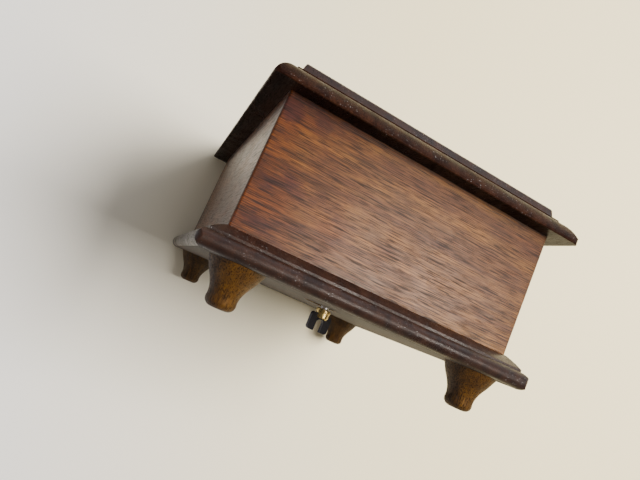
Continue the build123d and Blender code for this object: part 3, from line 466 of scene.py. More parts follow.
def stained_panel(name, along, shift, wood):
    """Golden-brown stained side of the case, redder towards the front, bare inside."""
    material, t, shader = new_material(name)
    line = grain_line(t, along, shift)
    grain = t.use(timber(), vector=line, **PANEL_GRAIN)
    rubbed = t.use(wear_and_shade(), **PANEL_WEAR_AND_SHADE)
    dirt = t.use(specks(), **PANEL_DIRT)
    stain = t.blend(grain["Figure"], wood.panel_light, wood.panel_dark)
    _, depth, _ = t.split(t.place())
    patches = t.noise(line, 42.0, 4.0, 0.6)
    redness = t.math("SUBTRACT", t.math("MULTIPLY", patches, 1.5), t.math("MULTIPLY", depth, 14.0))
    red = t.blend(grain["Figure"], wood.panel_red, shade(wood.panel_red, 0.45))
    reddened = t.between(redness, 0.8, 1.5, 0.0, 0.95)
    stain = t.blend(reddened, stain, red)
    clouds = t.noise(t.vector("MULTIPLY", line, (90.0, 170.0, 170.0)), detail=4.0, roughness=0.65)
    more_in_red = t.between(reddened, 0.0, 1.0, 0.3, 0.8)
    clouds = t.math("MULTIPLY", t.between(clouds, 0.42, 0.66), more_in_red)
    stain = t.blend(clouds, stain, wood.panel_deep)
    stain = streaked(t, stain, grain, 0.3, 0.7, 0.6, 1.4)
    stain = t.cover(grain["Pores"], wood.pore_depth, stain, wood.pore_colour)
    stain = t.blend(rubbed["Rubbed"], stain, wood.corner_colour)
    # Painted shade with grime: the stain darkens where the panel's own faces close in.
    stain = t.cover(rubbed["Grime And Shade"], 0.55, stain, shade(wood.pore_colour, 0.5))
    bare_mask, _ = inside_mask(t)
    t.feed(shader["Base Color"], t.blend(bare_mask, stain, bare_wood(t, grain, wood)))
    dull = wood.panel_roughness
    roughness = t.between(dirt["Smears"], 0.0, 1.0, dull - 0.01, dull + 0.04)
    roughness = t.math("ADD", roughness, t.math("MULTIPLY", grain["Pores"], 0.2))
    roughness = t.math("MAXIMUM", roughness, t.math("MULTIPLY", bare_mask, BARE_ROUGHNESS))
    t.feed(shader["Roughness"], roughness)
    varnished = t.math("SUBTRACT", 1.0, bare_mask)
    t.feed(shader["Coat Weight"], t.math("MULTIPLY", varnished, PANEL_COAT))
    shader["Specular IOR Level"].default_value = PANEL_GLOSS
    shader["Coat Roughness"].default_value = PANEL_COAT_ROUGHNESS
    t.feed(shader["Normal"], t.bump(grain["Height"], 0.00003, 0.25))
    return material


def dark_moulding(name, shift, wood, gloss, bare_hole=False):
    """Near-black stained and varnished moulding, rubbed brown along its arrises.

    With bare_hole it is the base board: bare inside the case and in the key's hole, dull below.
    """
    material, t, shader = new_material(name)
    line = grain_line(t, ALONG_X, shift)
    grain = t.use(timber(), vector=line, **TRIM_GRAIN)
    rubbed = t.use(wear_and_shade(), **TRIM_WEAR_AND_SHADE)
    dirt = t.use(specks(), **TRIM_DIRT)
    stain = t.blend(grain["Figure"], wood.trim_light, wood.trim_dark)
    stain = streaked(t, stain, grain, 0.25, 0.75, 0.7, 1.3)
    stain = t.cover(grain["Pores"], 0.5, stain, shade(wood.trim_dark, 0.35))
    stain = t.cover(rubbed["Rubbed"], 0.75, stain, wood.trim_rubbed)
    # Painted shade with grime: the moulding darkens in its coves and quirks where its own faces
    # close in.
    stain = t.cover(rubbed["Grime And Shade"], 0.7, stain, shade(wood.trim_dark, 0.3))
    stain = t.cover(dirt["Specks"], 0.45, stain, wood.dust_colour)
    dull = wood.trim_roughness
    roughness = t.between(dirt["Smears"], 0.0, 1.0, dull - 0.06, dull + 0.1)
    roughness = t.math("ADD", roughness, t.math("MULTIPLY", grain["Pores"], 0.15))
    coat = TRIM_COAT
    if bare_hole:
        inside, height = inside_mask(t)
        inside = t.math("MULTIPLY", inside, t.math("GREATER_THAN", height, BASE_TOP - 0.1 * MM))
        x, y, _ = t.split(t.place())
        aside = t.join(t.math("SUBTRACT", x, KEY_X), t.math("SUBTRACT", y, KEY_HOLE_Y), 0.0)
        away = t.vector("LENGTH", aside)
        hole = t.math("LESS_THAN", away, KEY_HOLE_RADIUS + 0.15 * MM)
        bare_mask = t.math("MAXIMUM", inside, hole)
        stain = t.blend(bare_mask, stain, bare_wood(t, grain, wood))
        underside = t.math("LESS_THAN", height, BASE_UNDERSIDE + 0.1 * MM)
        roughness = t.math("MAXIMUM", roughness, t.math("MULTIPLY", underside, UNDERSIDE_ROUGHNESS))
        roughness = t.math("MAXIMUM", roughness, t.math("MULTIPLY", bare_mask, BARE_ROUGHNESS))
        coat = t.math("MULTIPLY", t.math("SUBTRACT", 1.0, bare_mask), coat)
    t.feed(shader["Base Color"], stain)
    t.feed(shader["Roughness"], roughness)
    t.feed(shader["Coat Weight"], coat)
    shader["Specular IOR Level"].default_value = gloss
    shader["Coat Roughness"].default_value = TRIM_COAT_ROUGHNESS
    t.feed(shader["Normal"], t.bump(grain["Height"], 0.00004, 0.4))
    return material


def plain_wood(name, along, shift, tones, roughness, pore_depth=0.7):
    """Bare or lightly oiled wood with open pores, in its light, dark and pore colours."""
    light, dark, pore = tones
    material, t, shader = new_material(name)
    line = grain_line(t, along, shift)
    grain = t.use(timber(), vector=line, **PLAIN_GRAIN)
    rubbed = t.use(wear_and_shade(), **PLAIN_WEAR_AND_SHADE)
    colour = t.blend(grain["Figure"], light, dark)
    colour = streaked(t, colour, grain, 0.25, 0.75, 0.75, 1.22)
    colour = t.cover(grain["Pores"], pore_depth, colour, pore)
    colour = t.cover(rubbed["Rubbed"], 0.4, colour, shade(light, 1.2))
    # Painted shade with grime: the wood darkens where its own faces close in.
    colour = t.cover(rubbed["Grime And Shade"], 0.6, colour, shade(pore, 0.6))
    t.feed(shader["Base Color"], colour)
    in_pores = min(1.0, roughness + 0.2)
    t.feed(shader["Roughness"], t.between(grain["Pores"], 0.0, 1.0, roughness, in_pores))
    shader["Specular IOR Level"].default_value = PLAIN_GLOSS
    t.feed(shader["Normal"], t.bump(grain["Height"], 0.0001, 0.9))
    return material


def worn_metal(name, tones, roughness, tarnish=0.5, metallic=1.0, blotch=0.004):
    """Metal of a clean and a dull colour: blotched, scratched, bright-edged, dark in crevices."""
    colour, dull = tones
    material, t, shader = new_material(name)
    age = t.use(patina(), blotch_size=blotch, scratch_length=0.003)
    rubbed = t.use(wear_and_shade(), radius=0.0002, crevice=0.0012, break_up=900.0)
    tone = t.cover(age["Tarnish"], tarnish, colour, dull)
    tone = t.cover(age["Scratches"], 0.35, tone, shade(colour, 1.25))
    tone = t.cover(rubbed["Rubbed"], 0.6, tone, shade(colour, 1.3))
    # Tarnish in hollows and painted shade: the metal darkens where its own faces close in.
    tone = t.cover(rubbed["Grime And Shade"], 0.6, tone, shade(dull, 0.35))
    t.feed(shader["Base Color"], tone)
    shader["Metallic"].default_value = metallic
    rough = t.between(age["Tarnish"], 0.0, 1.0, roughness - 0.06, roughness + 0.14)
    polish = t.math("MULTIPLY", age["Scratches"], 0.08)
    t.feed(shader["Roughness"], t.math("SUBTRACT", rough, polish))
    t.feed(shader["Normal"], t.bump(age["Scratches"], 0.00001, 0.5))
    return material


def cast_plate(name, metal):
    """Grainy cast metal of the bedplate and brackets."""
    material, t, shader = new_material(name)
    age = t.use(patina(), blotch_size=0.006, scratch_length=0.004)
    rubbed = t.use(wear_and_shade(), radius=0.0003, crevice=0.002, break_up=700.0)
    grit = t.noise(t.place(), 5200.0, 3.0, 0.6)
    tone = t.blend(t.between(grit, 0.3, 0.7), shade(metal.cast_colour, 0.8), metal.cast_colour)
    tone = t.cover(age["Tarnish"], 0.4, tone, metal.cast_dull)
    tone = t.cover(rubbed["Rubbed"], 0.6, tone, shade(metal.cast_colour, 1.25))
    # Tarnish in hollows and painted shade: the casting darkens where its own faces close in.
    tone = t.cover(rubbed["Grime And Shade"], 0.6, tone, shade(metal.cast_dull, 0.35))
    t.feed(shader["Base Color"], tone)
    shader["Metallic"].default_value = 0.9
    t.feed(shader["Roughness"], t.between(grit, 0.3, 0.7, 0.38, 0.55))
    t.feed(shader["Normal"], t.bump(grit, 0.00004, 0.6))
    return material


def clear_sheet(name):
    """Clear plastic with a few scuffs."""
    material, t, shader = new_material(name)
    marks = t.use(patina(), blotch_size=0.02, scratch_length=0.008)
    shader["Base Color"].default_value = (0.95, 0.97, 0.96, 1.0)
    shader["Transmission Weight"].default_value = 1.0
    shader["IOR"].default_value = 1.49
    scuffs = t.math("MULTIPLY", marks["Scratches"], 0.12)
    haze = t.between(marks["Tarnish"], 0.3, 1.0, 0.0, 0.015)
    t.feed(shader["Roughness"], t.math("ADD", haze, scuffs))
    return material


def wool_felt(name, felt):
    """Short-napped wool felt."""
    material, t, shader = new_material(name)
    wool = t.use(nap(), fibre_width=0.00013)
    rubbed = t.use(wear_and_shade(), radius=0.0005, crevice=0.002, break_up=500.0)
    tone = t.blend(wool["Fibres"], shade(felt.felt_colour, 0.55), felt.felt_colour)
    tone = t.cover(wool["Clumps"], 0.45, tone, shade(felt.felt_colour, 1.35))
    tone = t.cover(rubbed["Rubbed"], 0.35, tone, shade(felt.felt_colour, 1.7))
    t.feed(shader["Base Color"], tone)
    t.feed(shader["Roughness"], t.between(wool["Fibres"], 0.0, 1.0, 0.98, 0.85))
    shader["Specular IOR Level"].default_value = 0.2
    shader["Sheen Weight"].default_value = 0.6
    shader["Sheen Roughness"].default_value = 0.45
    shader["Sheen Tint"].default_value = opaque(shade(felt.felt_colour, 2.0))
    t.feed(shader["Normal"], t.bump(wool["Height"], 0.00018, 0.9))
    return material


def brass(metal):
    return metal.brass_colour, metal.brass_dull


def old_brass(metal):
    return metal.hub_colour, metal.brass_dull


def steel(metal):
    return metal.steel_colour, metal.steel_dull


def dress(nodes, material):
    """Gives CAD nodes one material."""
    for name in nodes:
        mesh = NODES[name].data
        mesh.materials.clear()
        mesh.materials.append(material)


# ---------------------------------------------------------------- modelling helpers


def clear_selection():
    if bpy.context.object and bpy.context.object.mode != "OBJECT":
        bpy.ops.object.mode_set(mode="OBJECT")
    bpy.ops.object.select_all(action="DESELECT")


def settle(piece, name, material):
    """Names a finished piece, places it in its own mesh and gives it its material."""
    bpy.ops.object.mode_set(mode="OBJECT")
    bpy.ops.object.transform_apply(location=True, rotation=True, scale=True)
    piece.name = name
    piece.data.name = name
    piece.data.materials.clear()
    piece.data.materials.append(material)
    return piece


def apply_modifier(piece, name, kind, **settings):
    modifier = piece.modifiers.new(name, kind)
    for key, value in settings.items():
        setattr(modifier, key, value)
    bpy.ops.object.modifier_apply(modifier=modifier.name)


def felt_sheet(low, high, felt, seed):
    """A cut felt sheet that fills the box from low to high, soft-rimmed and a little uneven."""
    clear_selection()
    ripple = felt.ripple
    size = Vector((high.x - low.x, high.y - low.y))
    centre = ((low.x + high.x) / 2, (low.y + high.y) / 2, (low.z + high.z) / 2)
    bpy.ops.mesh.primitive_grid_add(
        x_subdivisions=round(size.x / felt.mesh_pitch),
        y_subdivisions=round(size.y / felt.mesh_pitch),
        size=1.0,
        location=centre,
    )
    piece = bpy.context.object
    piece.scale = (size.x - 2 * ripple, size.y - 2 * ripple, 1.0)
    bpy.ops.object.transform_apply(location=True, rotation=False, scale=True)
    thickness = high.z - low.z - 2 * ripple
    solid = {"thickness": thickness, "offset": 0.0, "use_even_offset": True}
    apply_modifier(piece, "Felt thickness", "SOLIDIFY", **solid)
    bpy.ops.object.mode_set(mode="EDIT")
    bpy.ops.mesh.select_all(action="SELECT")
    bpy.ops.mesh.normals_make_consistent(inside=False)
    bpy.ops.mesh.select_all(action="DESELECT")
    bpy.ops.object.mode_set(mode="OBJECT")

    def all_near(ends, axis, reach):
        """Whether an edge lies that far from the middle, along one axis."""
        return all(abs(abs(p[axis] - centre[axis]) - reach) < ON_FACE for p in ends)

    for edge in piece.data.edges:
        ends = [piece.data.vertices[i].co for i in edge.vertices]
        level = abs(ends[0].z - ends[1].z) < ON_FACE
        at_end = all_near(ends, 0, size.x / 2 - ripple)
        at_side = all_near(ends, 1, size.y / 2 - ripple)
        edge.select = level and all_near(ends, 2, thickness / 2) and (at_end or at_side)
    bpy.ops.object.mode_set(mode="EDIT")
    bpy.ops.mesh.select_mode(type="EDGE")
    bpy.ops.mesh.bevel(offset=felt.rim_softness, segments=3, profile=0.5, affect="EDGES")
    bpy.ops.mesh.select_mode(type="VERT")
    bpy.ops.mesh.select_all(action="SELECT")
    bpy.ops.transform.vertex_random(offset=ripple, uniform=1.0, normal=0.0, seed=seed)
    bpy.ops.mesh.vertices_smooth(factor=0.35, repeat=1)
    bpy.ops.mesh.normals_make_consistent(inside=False)
    bpy.ops.object.mode_set(mode="OBJECT")
    bpy.ops.object.shade_smooth()
    return piece


# ---------------------------------------------------------------- settings


def colour_setting(name, text, value):
    limits = {"min": 0.0, "max": 1.0}
    return FloatVectorProperty(
        name=name, description=text, subtype="COLOR", size=3, default=value, **limits
    )


def number_setting(name, text, value, low, high=None, **kind):
    limits = {"min": low} if high is None else {"min": low, "max": high}
    return FloatProperty(name=name, description=text, default=value, **limits, **kind)


class WoodFinishSettings(bpy.types.PropertyGroup):
    """Stains, varnish and bare wood."""

    panel_light: colour_setting(
        "Panel light", "Lighter golden bands of the stained sides", (0.17, 0.066, 0.009)
    )
    panel_dark: colour_setting(
        "Panel dark", "Darker golden bands of the stained sides", (0.075, 0.024, 0.005)
    )
    panel_red: colour_setting(
        "Panel red", "Redder patches of the stain, mostly near the front", (0.125, 0.030, 0.004)
    )
    panel_deep: colour_setting(
        "Panel clouds", "Uneven deep patches of the stain", (0.028, 0.0065, 0.007)
    )
    pore_colour: colour_setting("Pores", "Stain caught in the open pores", (0.004, 0.0015, 0.0015))
    pore_depth: number_setting(
        "Pore depth", "How strongly the pores show", 0.85, 0.0, 1.0, subtype="FACTOR"
    )
    corner_colour: colour_setting(
        "Corner line", "Stain gathered along the panel corners", (0.010, 0.004, 0.003)
    )
    panel_roughness: number_setting(
        "Panel roughness", "Dullness of the sides' varnish", 0.32, 0.1, 1.0
    )
    trim_light: colour_setting(
        "Moulding light", "Lighter streaks of the dark mouldings", (0.028, 0.0105, 0.0055)
    )
    trim_dark: colour_setting(
        "Moulding dark", "Darker streaks of the dark mouldings", (0.010, 0.004, 0.003)
    )
    trim_rubbed: colour_setting(
        "Moulding rubbed", "Brown showing along worn arrises", (0.05, 0.02, 0.010)
    )
    trim_roughness: number_setting(
        "Moulding roughness", "Dullness of the mouldings' varnish", 0.33, 0.1, 1.0
    )
    dust_colour: colour_setting("Dust", "Pale specks lying on the mouldings", (0.28, 0.26, 0.25))
    foot_light: colour_setting(
        "Foot light", "Lighter wood of the turned feet", (0.09, 0.038, 0.004)
    )
    foot_dark: colour_setting("Foot dark", "Darker wood of the turned feet", (0.042, 0.017, 0.003))
    foot_pore: colour_setting("Foot pores", "Dark pores of the turned feet", (0.010, 0.005, 0.002))
    bare_light: colour_setting(
        "Bare wood light", "Lighter bare wood inside the case", (0.34, 0.21, 0.105)
    )
    bare_dark: colour_setting(
        "Bare wood dark", "Darker bare wood inside the case", (0.23, 0.13, 0.06)
    )


class MetalFinishSettings(bpy.types.PropertyGroup):
    """Brass, steel and cast metal."""

    brass_colour: colour_setting("Brass", "Clean brass of the movement", (0.75, 0.53, 0.22))
    brass_dull: colour_setting("Dull brass", "Tarnished brass", (0.34, 0.21, 0.08))
    hub_colour: colour_setting("Key hub", "Old brass of the key's hub", (0.5, 0.37, 0.14))
    steel_colour: colour_setting("Steel", "Bright steel of shafts and comb", (0.56, 0.56, 0.57))
    steel_dull: colour_setting("Dull steel", "Grey film on the steel", (0.25, 0.24, 0.24))
    blued_colour: colour_setting(
        "Blued steel", "Dark steel of the key's wing", (0.036, 0.034, 0.038)
    )
    cast_colour: colour_setting("Cast metal", "Cast bedplate and brackets", (0.6, 0.57, 0.5))
    cast_dull: colour_setting("Dull cast metal", "Grey film on the castings", (0.32, 0.29, 0.25))


class FeltSettings(bpy.types.PropertyGroup):
    """Felt pad and lid lining."""

    felt_colour: colour_setting("Felt", "Wool felt of the pad and the lining", (0.22, 0.012, 0.025))
    rim_softness: number_setting(
        "Rim softness", "Rounding of the cut edge", 0.0004, 0.0, 0.001, unit="LENGTH"
    )
    ripple: number_setting(
        "Ripple", "Unevenness of the felt's faces", 0.00012, 0.0, 0.0005, unit="LENGTH"
    )
    mesh_pitch: number_setting(
        "Mesh pitch", "Spacing of the felt's faces", 0.0016, 0.0005, 0.01, unit="LENGTH"
    )


class StageSettings(bpy.types.PropertyGroup):
    """Paper, lights and lens."""

    paper_cool: colour_setting(
        "Paper", "Pale paper that the box's end stands on", (0.90, 0.90, 0.95)
    )
    # Painted warm light: the warm tint laid over the paper towards its right side.
    paper_warm_light: colour_setting(
        "Warm-lit paper", "Painted warm light on the paper", (0.97, 0.83, 0.5)
    )
    window_power: number_setting(
        "Window", "Power of the window beside the camera", 22.0, 0.0, unit="POWER"
    )
    sheen_power: number_setting(
        "Sheen", "Power of the window's reflection in the varnish", 4.7, 0.0, unit="POWER"
    )
    ceiling_power: number_setting(
        "Ceiling", "Power of the wide light overhead", 3.0, 0.0, unit="POWER"
    )
    rear_power: number_setting(
        "Rear light", "Power of the light behind the paper", 3.0, 0.0, unit="POWER"
    )
    lens: number_setting("Lens", "Focal length on a 36 mm wide sensor", 28.45, 1.0, unit="CAMERA")


SETTINGS = {
    "music_box_wood": WoodFinishSettings,
    "music_box_metal": MetalFinishSettings,
    "music_box_felt": FeltSettings,
    "music_box_stage": StageSettings,
}


# ---------------------------------------------------------------- operators


class BoxOperator:
    """What every step shares."""

    bl_options = {"REGISTER", "UNDO"}


class MUSICBOX_OT_case_panels(BoxOperator, bpy.types.Operator):
    """Stain and varnish the four sides of the case"""

    bl_idname = "music_box.case_panels"
    bl_label = "Case panels"

    def execute(self, context):
        wood = context.scene.music_box_wood
        sides = {
            "right_end_panel": (ALONG_Y, (0.31, 0.2, 0.0)),
            "left_end_panel": (ALONG_Y, (0.83, 0.5, 0.1)),
            "front_panel": (ALONG_X, (0.12, 0.7, 0.4)),
            "rear_panel": (ALONG_X, (0.57, 0.3, 0.8)),
        }
        for node, (along, shift) in sides.items():
            dress([node], stained_panel(f"Stained {node.replace('_', ' ')}", along, shift, wood))
        return {"FINISHED"}


class MUSICBOX_OT_mouldings(BoxOperator, bpy.types.Operator):
    """Stain and varnish the base and the lid"""

    bl_idname = "music_box.mouldings"
    bl_label = "Mouldings"

    def execute(self, context):
        wood = context.scene.music_box_wood
        shift = (0.2, 0.4, 0.1)
        base = dark_moulding("Dark base moulding", shift, wood, BASE_GLOSS, bare_hole=True)
        dress(["base_board"], base)
        lid = dark_moulding("Dark lid moulding", (0.6, 0.1, 0.3), wood, LID_BOARD_GLOSS)
        dress(["lid_board"], lid)
        top = dark_moulding("Dark lid panel", (0.9, 0.8, 0.5), wood, LID_PANEL_GLOSS)
        dress(["lid_top_panel"], top)
        return {"FINISHED"}


class MUSICBOX_OT_feet(BoxOperator, bpy.types.Operator):
    """Finish the four turned feet"""

    bl_idname = "music_box.feet"
    bl_label = "Feet"

    def execute(self, context):
        wood = context.scene.music_box_wood
        tones = (wood.foot_light, wood.foot_dark, wood.foot_pore)
        corners = ("front_left", "front_right", "rear_left", "rear_right")
        for order, corner in enumerate(corners):
            shift = (0.21 * order, 0.13 * order, 0.4 + 0.17 * order)
            name = f"Turned foot {corner.replace('_', ' ')}"
            turned = plain_wood(name, ALONG_Z, shift, tones, roughness=0.55, pore_depth=0.85)
            dress([f"foot_{corner}"], turned)
        return {"FINISHED"}


class MUSICBOX_OT_inner_wood(BoxOperator, bpy.types.Operator):
    """Finish the divider and the cleats inside the case"""

    bl_idname = "music_box.inner_wood"
    bl_label = "Inner wood"

    def execute(self, context):
        wood = context.scene.music_box_wood
        tones = (wood.bare_light, wood.bare_dark, shade(wood.bare_dark, 0.4))
        divider = plain_wood("Bare divider", ALONG_Y, (0.4, 0.1, 0.9), tones, roughness=0.65)
        dress(["divider"], divider)
        cleats = plain_wood("Bare cleats", ALONG_X, (0.7, 0.6, 0.2), tones, roughness=0.7)
        dress(["front_cleat", "rear_cleat"], cleats)
        return {"FINISHED"}


class MUSICBOX_OT_movement_cover(BoxOperator, bpy.types.Operator):
    """Make the cover over the movement clear"""

    bl_idname = "music_box.movement_cover"
    bl_label = "Movement cover"

    def execute(self, context):
        dress(["movement_cover"], clear_sheet("Clear cover"))
        return {"FINISHED"}


class MUSICBOX_OT_hinges(BoxOperator, bpy.types.Operator):
    """Finish the hinges and their screws"""

    bl_idname = "music_box.hinges"
    bl_label = "Hinges"

    def execute(self, context):
        metal = context.scene.music_box_metal
        sides, kinds = ("left", "right"), ("body_leaf", "lid_leaf")
        leaves = [f"hinge_{side}_{kind}" for side in sides for kind in kinds]
        dress(leaves, worn_metal("Hinge brass", brass(metal), roughness=0.32, tarnish=0.7))
        screws = worn_metal("Screw brass", old_brass(metal), roughness=0.36, tarnish=0.5)
        dress(["body_leaf_screws", "lid_leaf_screws"], screws)
        pins = worn_metal("Pin steel", steel(metal), roughness=0.35)
        dress(["hinge_left_pin", "hinge_right_pin"], pins)
        return {"FINISHED"}


class MUSICBOX_OT_key(BoxOperator, bpy.types.Operator):
    """Finish the winding key and its arbor"""

    bl_idname = "music_box.key"
    bl_label = "Key"

    def execute(self, context):
        metal = context.scene.music_box_metal
        dress(["key_hub"], worn_metal("Key brass", old_brass(metal), roughness=0.3, tarnish=0.8))
        blued = (metal.blued_colour, shade(metal.blued_colour, 0.5))
        finish = worn_metal("Blued key", blued, roughness=0.38, tarnish=0.5, metallic=0.85)
        dress(["key_wing"], finish)
        dress(["winding_arbor"], worn_metal("Arbor steel", steel(metal), roughness=0.3))
        return {"FINISHED"}


class MUSICBOX_OT_movement(BoxOperator, bpy.types.Operator):
    """Finish the wheels, drum, cylinder, comb and plates"""

    bl_idname = "music_box.movement"
    bl_label = "Movement"

    def execute(self, context):
        metal = context.scene.music_box_metal
        turned = worn_metal("Turned brass", brass(metal), roughness=0.26, tarnish=0.4)
        dress(["pinned_cylinder", "cylinder_discs", "drum_cup", "drum_cover"], turned)
        cut = worn_metal("Cut brass", brass(metal), roughness=0.32, tarnish=0.55, blotch=0.002)
        dress(["cylinder_gear", "cylinder_pinion", "governor_wheel"], cut)
        bright = worn_metal("Bright steel", steel(metal), roughness=0.24, tarnish=0.35)
        dress(["comb", "cylinder_shaft", "governor_pinion", "ratchet_wheel"], bright)
        dress(["stop_wire", "click"], bright)
        brake = worn_metal("Air brake steel", steel(metal), roughness=0.3)
        dress(["governor_worm", "governor_fan"], brake)
        dark = shade(metal.blued_colour, 1.6)
        finish = worn_metal("Spring steel", (dark, shade(dark, 0.5)), roughness=0.3, tarnish=0.4)
        dress(["mainspring"], finish)
        dimmed = (shade(metal.steel_colour, 0.8), metal.steel_dull)
        screws = worn_metal("Screw steel", dimmed, roughness=0.33, tarnish=0.5)
        dress(["movement_screws", "frame_screws", "comb_screws"], screws)
        dress(["bedplate", "bearing_bracket", "governor_frame"], cast_plate("Cast plates", metal))
        return {"FINISHED"}


class MUSICBOX_OT_floor_felt(BoxOperator, bpy.types.Operator):
    """Cut and lay the felt pad on the compartment's floor"""

    bl_idname = "music_box.floor_felt"
    bl_label = "Felt pad"

    def execute(self, context):
        felt = context.scene.music_box_felt
        low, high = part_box("floor_felt")
        pad = felt_sheet(low, high, felt, seed=3)
        settle(pad, "felt_pad", wool_felt("Pad felt", felt))
        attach(pad, "case")
        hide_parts("floor_felt")
        return {"FINISHED"}


class MUSICBOX_OT_lid_lining(BoxOperator, bpy.types.Operator):
    """Cut and glue the felt lining under the lid"""

    bl_idname = "music_box.lid_lining"
    bl_label = "Lid lining"

    def execute(self, context):
        felt = context.scene.music_box_felt
        low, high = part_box("lid_lining")
        lining = felt_sheet(low, high, felt, seed=8)
        settle(lining, "lid_felt", wool_felt("Lining felt", felt))
        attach(lining, "lid")
        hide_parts("lid_lining")
        return {"FINISHED"}


class MUSICBOX_OT_stage(BoxOperator, bpy.types.Operator):
    """Lay the pale paper, hang the lights and set the camera"""

    bl_idname = "music_box.stage"
    bl_label = "Stage"

    def execute(self, context):
        stage = context.scene.music_box_stage
        lay_paper(stage)
        light_room()
        window = soft_light(
            "window",
            stage.window_power,
            toward=(0.885, 0.445, 0.2),
            size=0.45,
            colour=(1.0, 0.985, 0.96),
        )
        window.visible_glossy = False
        sheen = soft_light(
            "sheen",
            stage.sheen_power,
            toward=(0.89, 0.42, 0.02),
            size=0.32,
            colour=(1.0, 0.93, 0.84),
        )
        sheen.visible_diffuse = False
        soft_light(
            "ceiling",
            stage.ceiling_power,
            toward=(0.25, 0.35, 0.9),
            size=0.9,
            colour=(0.93, 0.96, 1.0),
        )
        rear = soft_light(
            "rear",
            stage.rear_power,
            toward=(-0.8, 0.35, 0.6),
            size=0.7,
            colour=(1.0, 0.98, 0.95),
        )
        rear.visible_glossy = False
        set_camera(stage.lens)
        return {"FINISHED"}


def lay_paper(stage):
    """The sheet that the box's left end stands on, seen from the box's side only."""
    clear_selection()
    bpy.ops.mesh.primitive_plane_add(
        size=2 * PAPER_REACH,
        location=(CAD_BOX[0].x - PAPER_GAP, 0.0, 0.0),
        rotation=(0.0, math.pi / 2, 0.0),
    )
    paper = bpy.context.object
    paper.name = "paper"
    bpy.ops.object.transform_apply(location=True, rotation=True, scale=True)
    material, t, shader = new_material("Pale paper")
    place = t.place()
    # Painted warm light: the paper turns warm towards its right side, with noise wobbling the
    # tint's edge.
    across = t.vector("DOT_PRODUCT", place, (0.0, 0.86, 0.4))
    warm_light_wobble = t.math("MULTIPLY", t.noise(place, 3.0, 2.0), 0.08)
    warm_light_share = t.between(t.math("ADD", across, warm_light_wobble), -0.2, 0.16)
    t.feed(shader["Base Color"], t.blend(warm_light_share, stage.paper_cool, stage.paper_warm_light))
    shader["Roughness"].default_value = 0.9
    shader["Specular IOR Level"].default_value = 0.1
    fibres = t.noise(place, 900.0, 3.0)
    t.feed(shader["Normal"], t.bump(fibres, 0.00005, 0.3))
    behind = t.add("ShaderNodeNewGeometry").outputs["Backfacing"]
    shadow = t.add("ShaderNodeLightPath").outputs["Is Shadow Ray"]
    clear = t.add("ShaderNodeBsdfTransparent")
    mix = t.add("ShaderNodeMixShader")
    t.feed(mix.inputs[0], t.math("MAXIMUM", behind, shadow))
    sheet = shader["Base Color"].node.outputs[0]
    surface = sheet.links[0].to_socket
    t.feed(mix.inputs[1], sheet)
    t.feed(mix.inputs[2], clear.outputs[0])
    t.feed(surface, mix.outputs[0])
    paper.data.materials.append(material)


def light_room():
    """A pale room, brighter and cooler overhead."""
    world = bpy.data.worlds.new("Pale room")
    world.use_nodes = True
    world.node_tree.nodes.clear()
    t = Tree(world.node_tree)
    _, _, up = t.split(t.add("ShaderNodeTexCoord").outputs["Generated"])
    sky = t.blend(t.between(up, -0.6, 0.9), (0.50, 0.47, 0.42), (0.62, 0.64, 0.68))
    background = t.add("ShaderNodeBackground")
    t.feed(background.inputs["Color"], sky)
    background.inputs["Strength"].default_value = ROOM_STRENGTH
    t.feed(t.add("ShaderNodeOutputWorld").inputs["Surface"], background.outputs[0])
    bpy.context.scene.world = world


def soft_light(name, power, toward, size, colour):
    """A square soft light that faces the box from that direction."""
    lamp = bpy.data.lights.new(name, "AREA")
    lamp.shape = "SQUARE"
    lamp.size = size
    lamp.energy = power
    lamp.color = colour
    holder = bpy.data.objects.new(name, lamp)
    bpy.context.scene.collection.objects.link(holder)
    away = Vector(toward).normalized()
    holder.location = Vector(AIM_POINT) + LAMP_DISTANCE * away
    holder.rotation_mode = "QUATERNION"
    holder.rotation_quaternion = (-away).to_track_quat("-Z", "Y")
    return holder


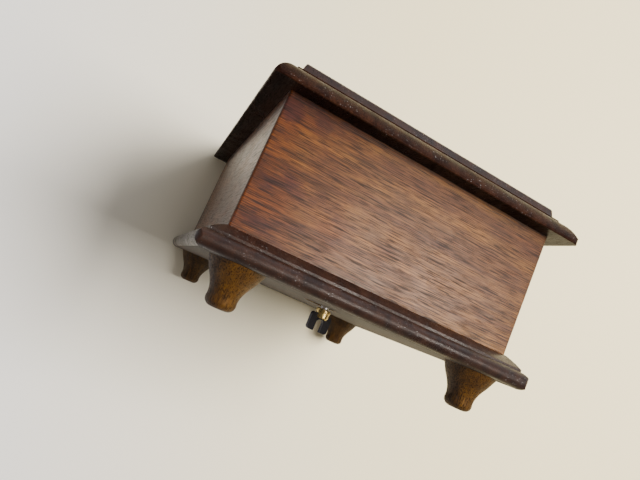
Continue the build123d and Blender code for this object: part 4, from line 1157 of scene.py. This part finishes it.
def set_camera(lens):
    """A close, low view of the right end, rolled to the left."""
    camera = bpy.data.objects.new("camera", bpy.data.cameras.new("camera"))
    bpy.context.scene.collection.objects.link(camera)
    camera.data.sensor_width = SENSOR_WIDTH
    camera.data.lens = lens
    camera.data.clip_start = 0.005
    camera.data.clip_end = 20.0
    right = Vector(CAMERA_RIGHT).normalized()
    back = Vector(CAMERA_BACK).normalized()
    up = back.cross(right).normalized()
    back = right.cross(up)
    turn = Matrix((right, up, back)).transposed().to_4x4()
    camera.matrix_world = Matrix.Translation(CAMERA_PLACE) @ turn
    bpy.context.scene.camera = camera


STEPS = [
    MUSICBOX_OT_stage,
    MUSICBOX_OT_case_panels,
    MUSICBOX_OT_mouldings,
    MUSICBOX_OT_feet,
    MUSICBOX_OT_inner_wood,
    MUSICBOX_OT_movement_cover,
    MUSICBOX_OT_hinges,
    MUSICBOX_OT_key,
    MUSICBOX_OT_movement,
    MUSICBOX_OT_floor_felt,
    MUSICBOX_OT_lid_lining,
]


class MUSICBOX_PT_sidebar(bpy.types.Panel):
    """Steps and settings of the music box"""

    bl_idname = "MUSICBOX_PT_sidebar"
    bl_label = "Music Box"
    bl_space_type = "VIEW_3D"
    bl_region_type = "UI"
    bl_category = "Music Box"

    def draw(self, context):
        for step in STEPS:
            self.layout.operator(step.bl_idname)
        for name, group in SETTINGS.items():
            box = self.layout.box()
            for setting in group.__annotations__:
                box.prop(getattr(context.scene, name), setting)


def register():
    for group in SETTINGS.values():
        bpy.utils.register_class(group)
    for step in STEPS:
        bpy.utils.register_class(step)
    bpy.utils.register_class(MUSICBOX_PT_sidebar)
    for name, group in SETTINGS.items():
        setattr(bpy.types.Scene, name, PointerProperty(type=group))


def unregister():
    for name in SETTINGS:
        delattr(bpy.types.Scene, name)
    bpy.utils.unregister_class(MUSICBOX_PT_sidebar)
    for step in reversed(STEPS):
        bpy.utils.unregister_class(step)
    for group in reversed(list(SETTINGS.values())):
        bpy.utils.unregister_class(group)


def main():
    register()
    for step in STEPS:
        family, action = step.bl_idname.split(".")
        getattr(getattr(bpy.ops, family), action)()


if __name__ == "__main__":
    main()
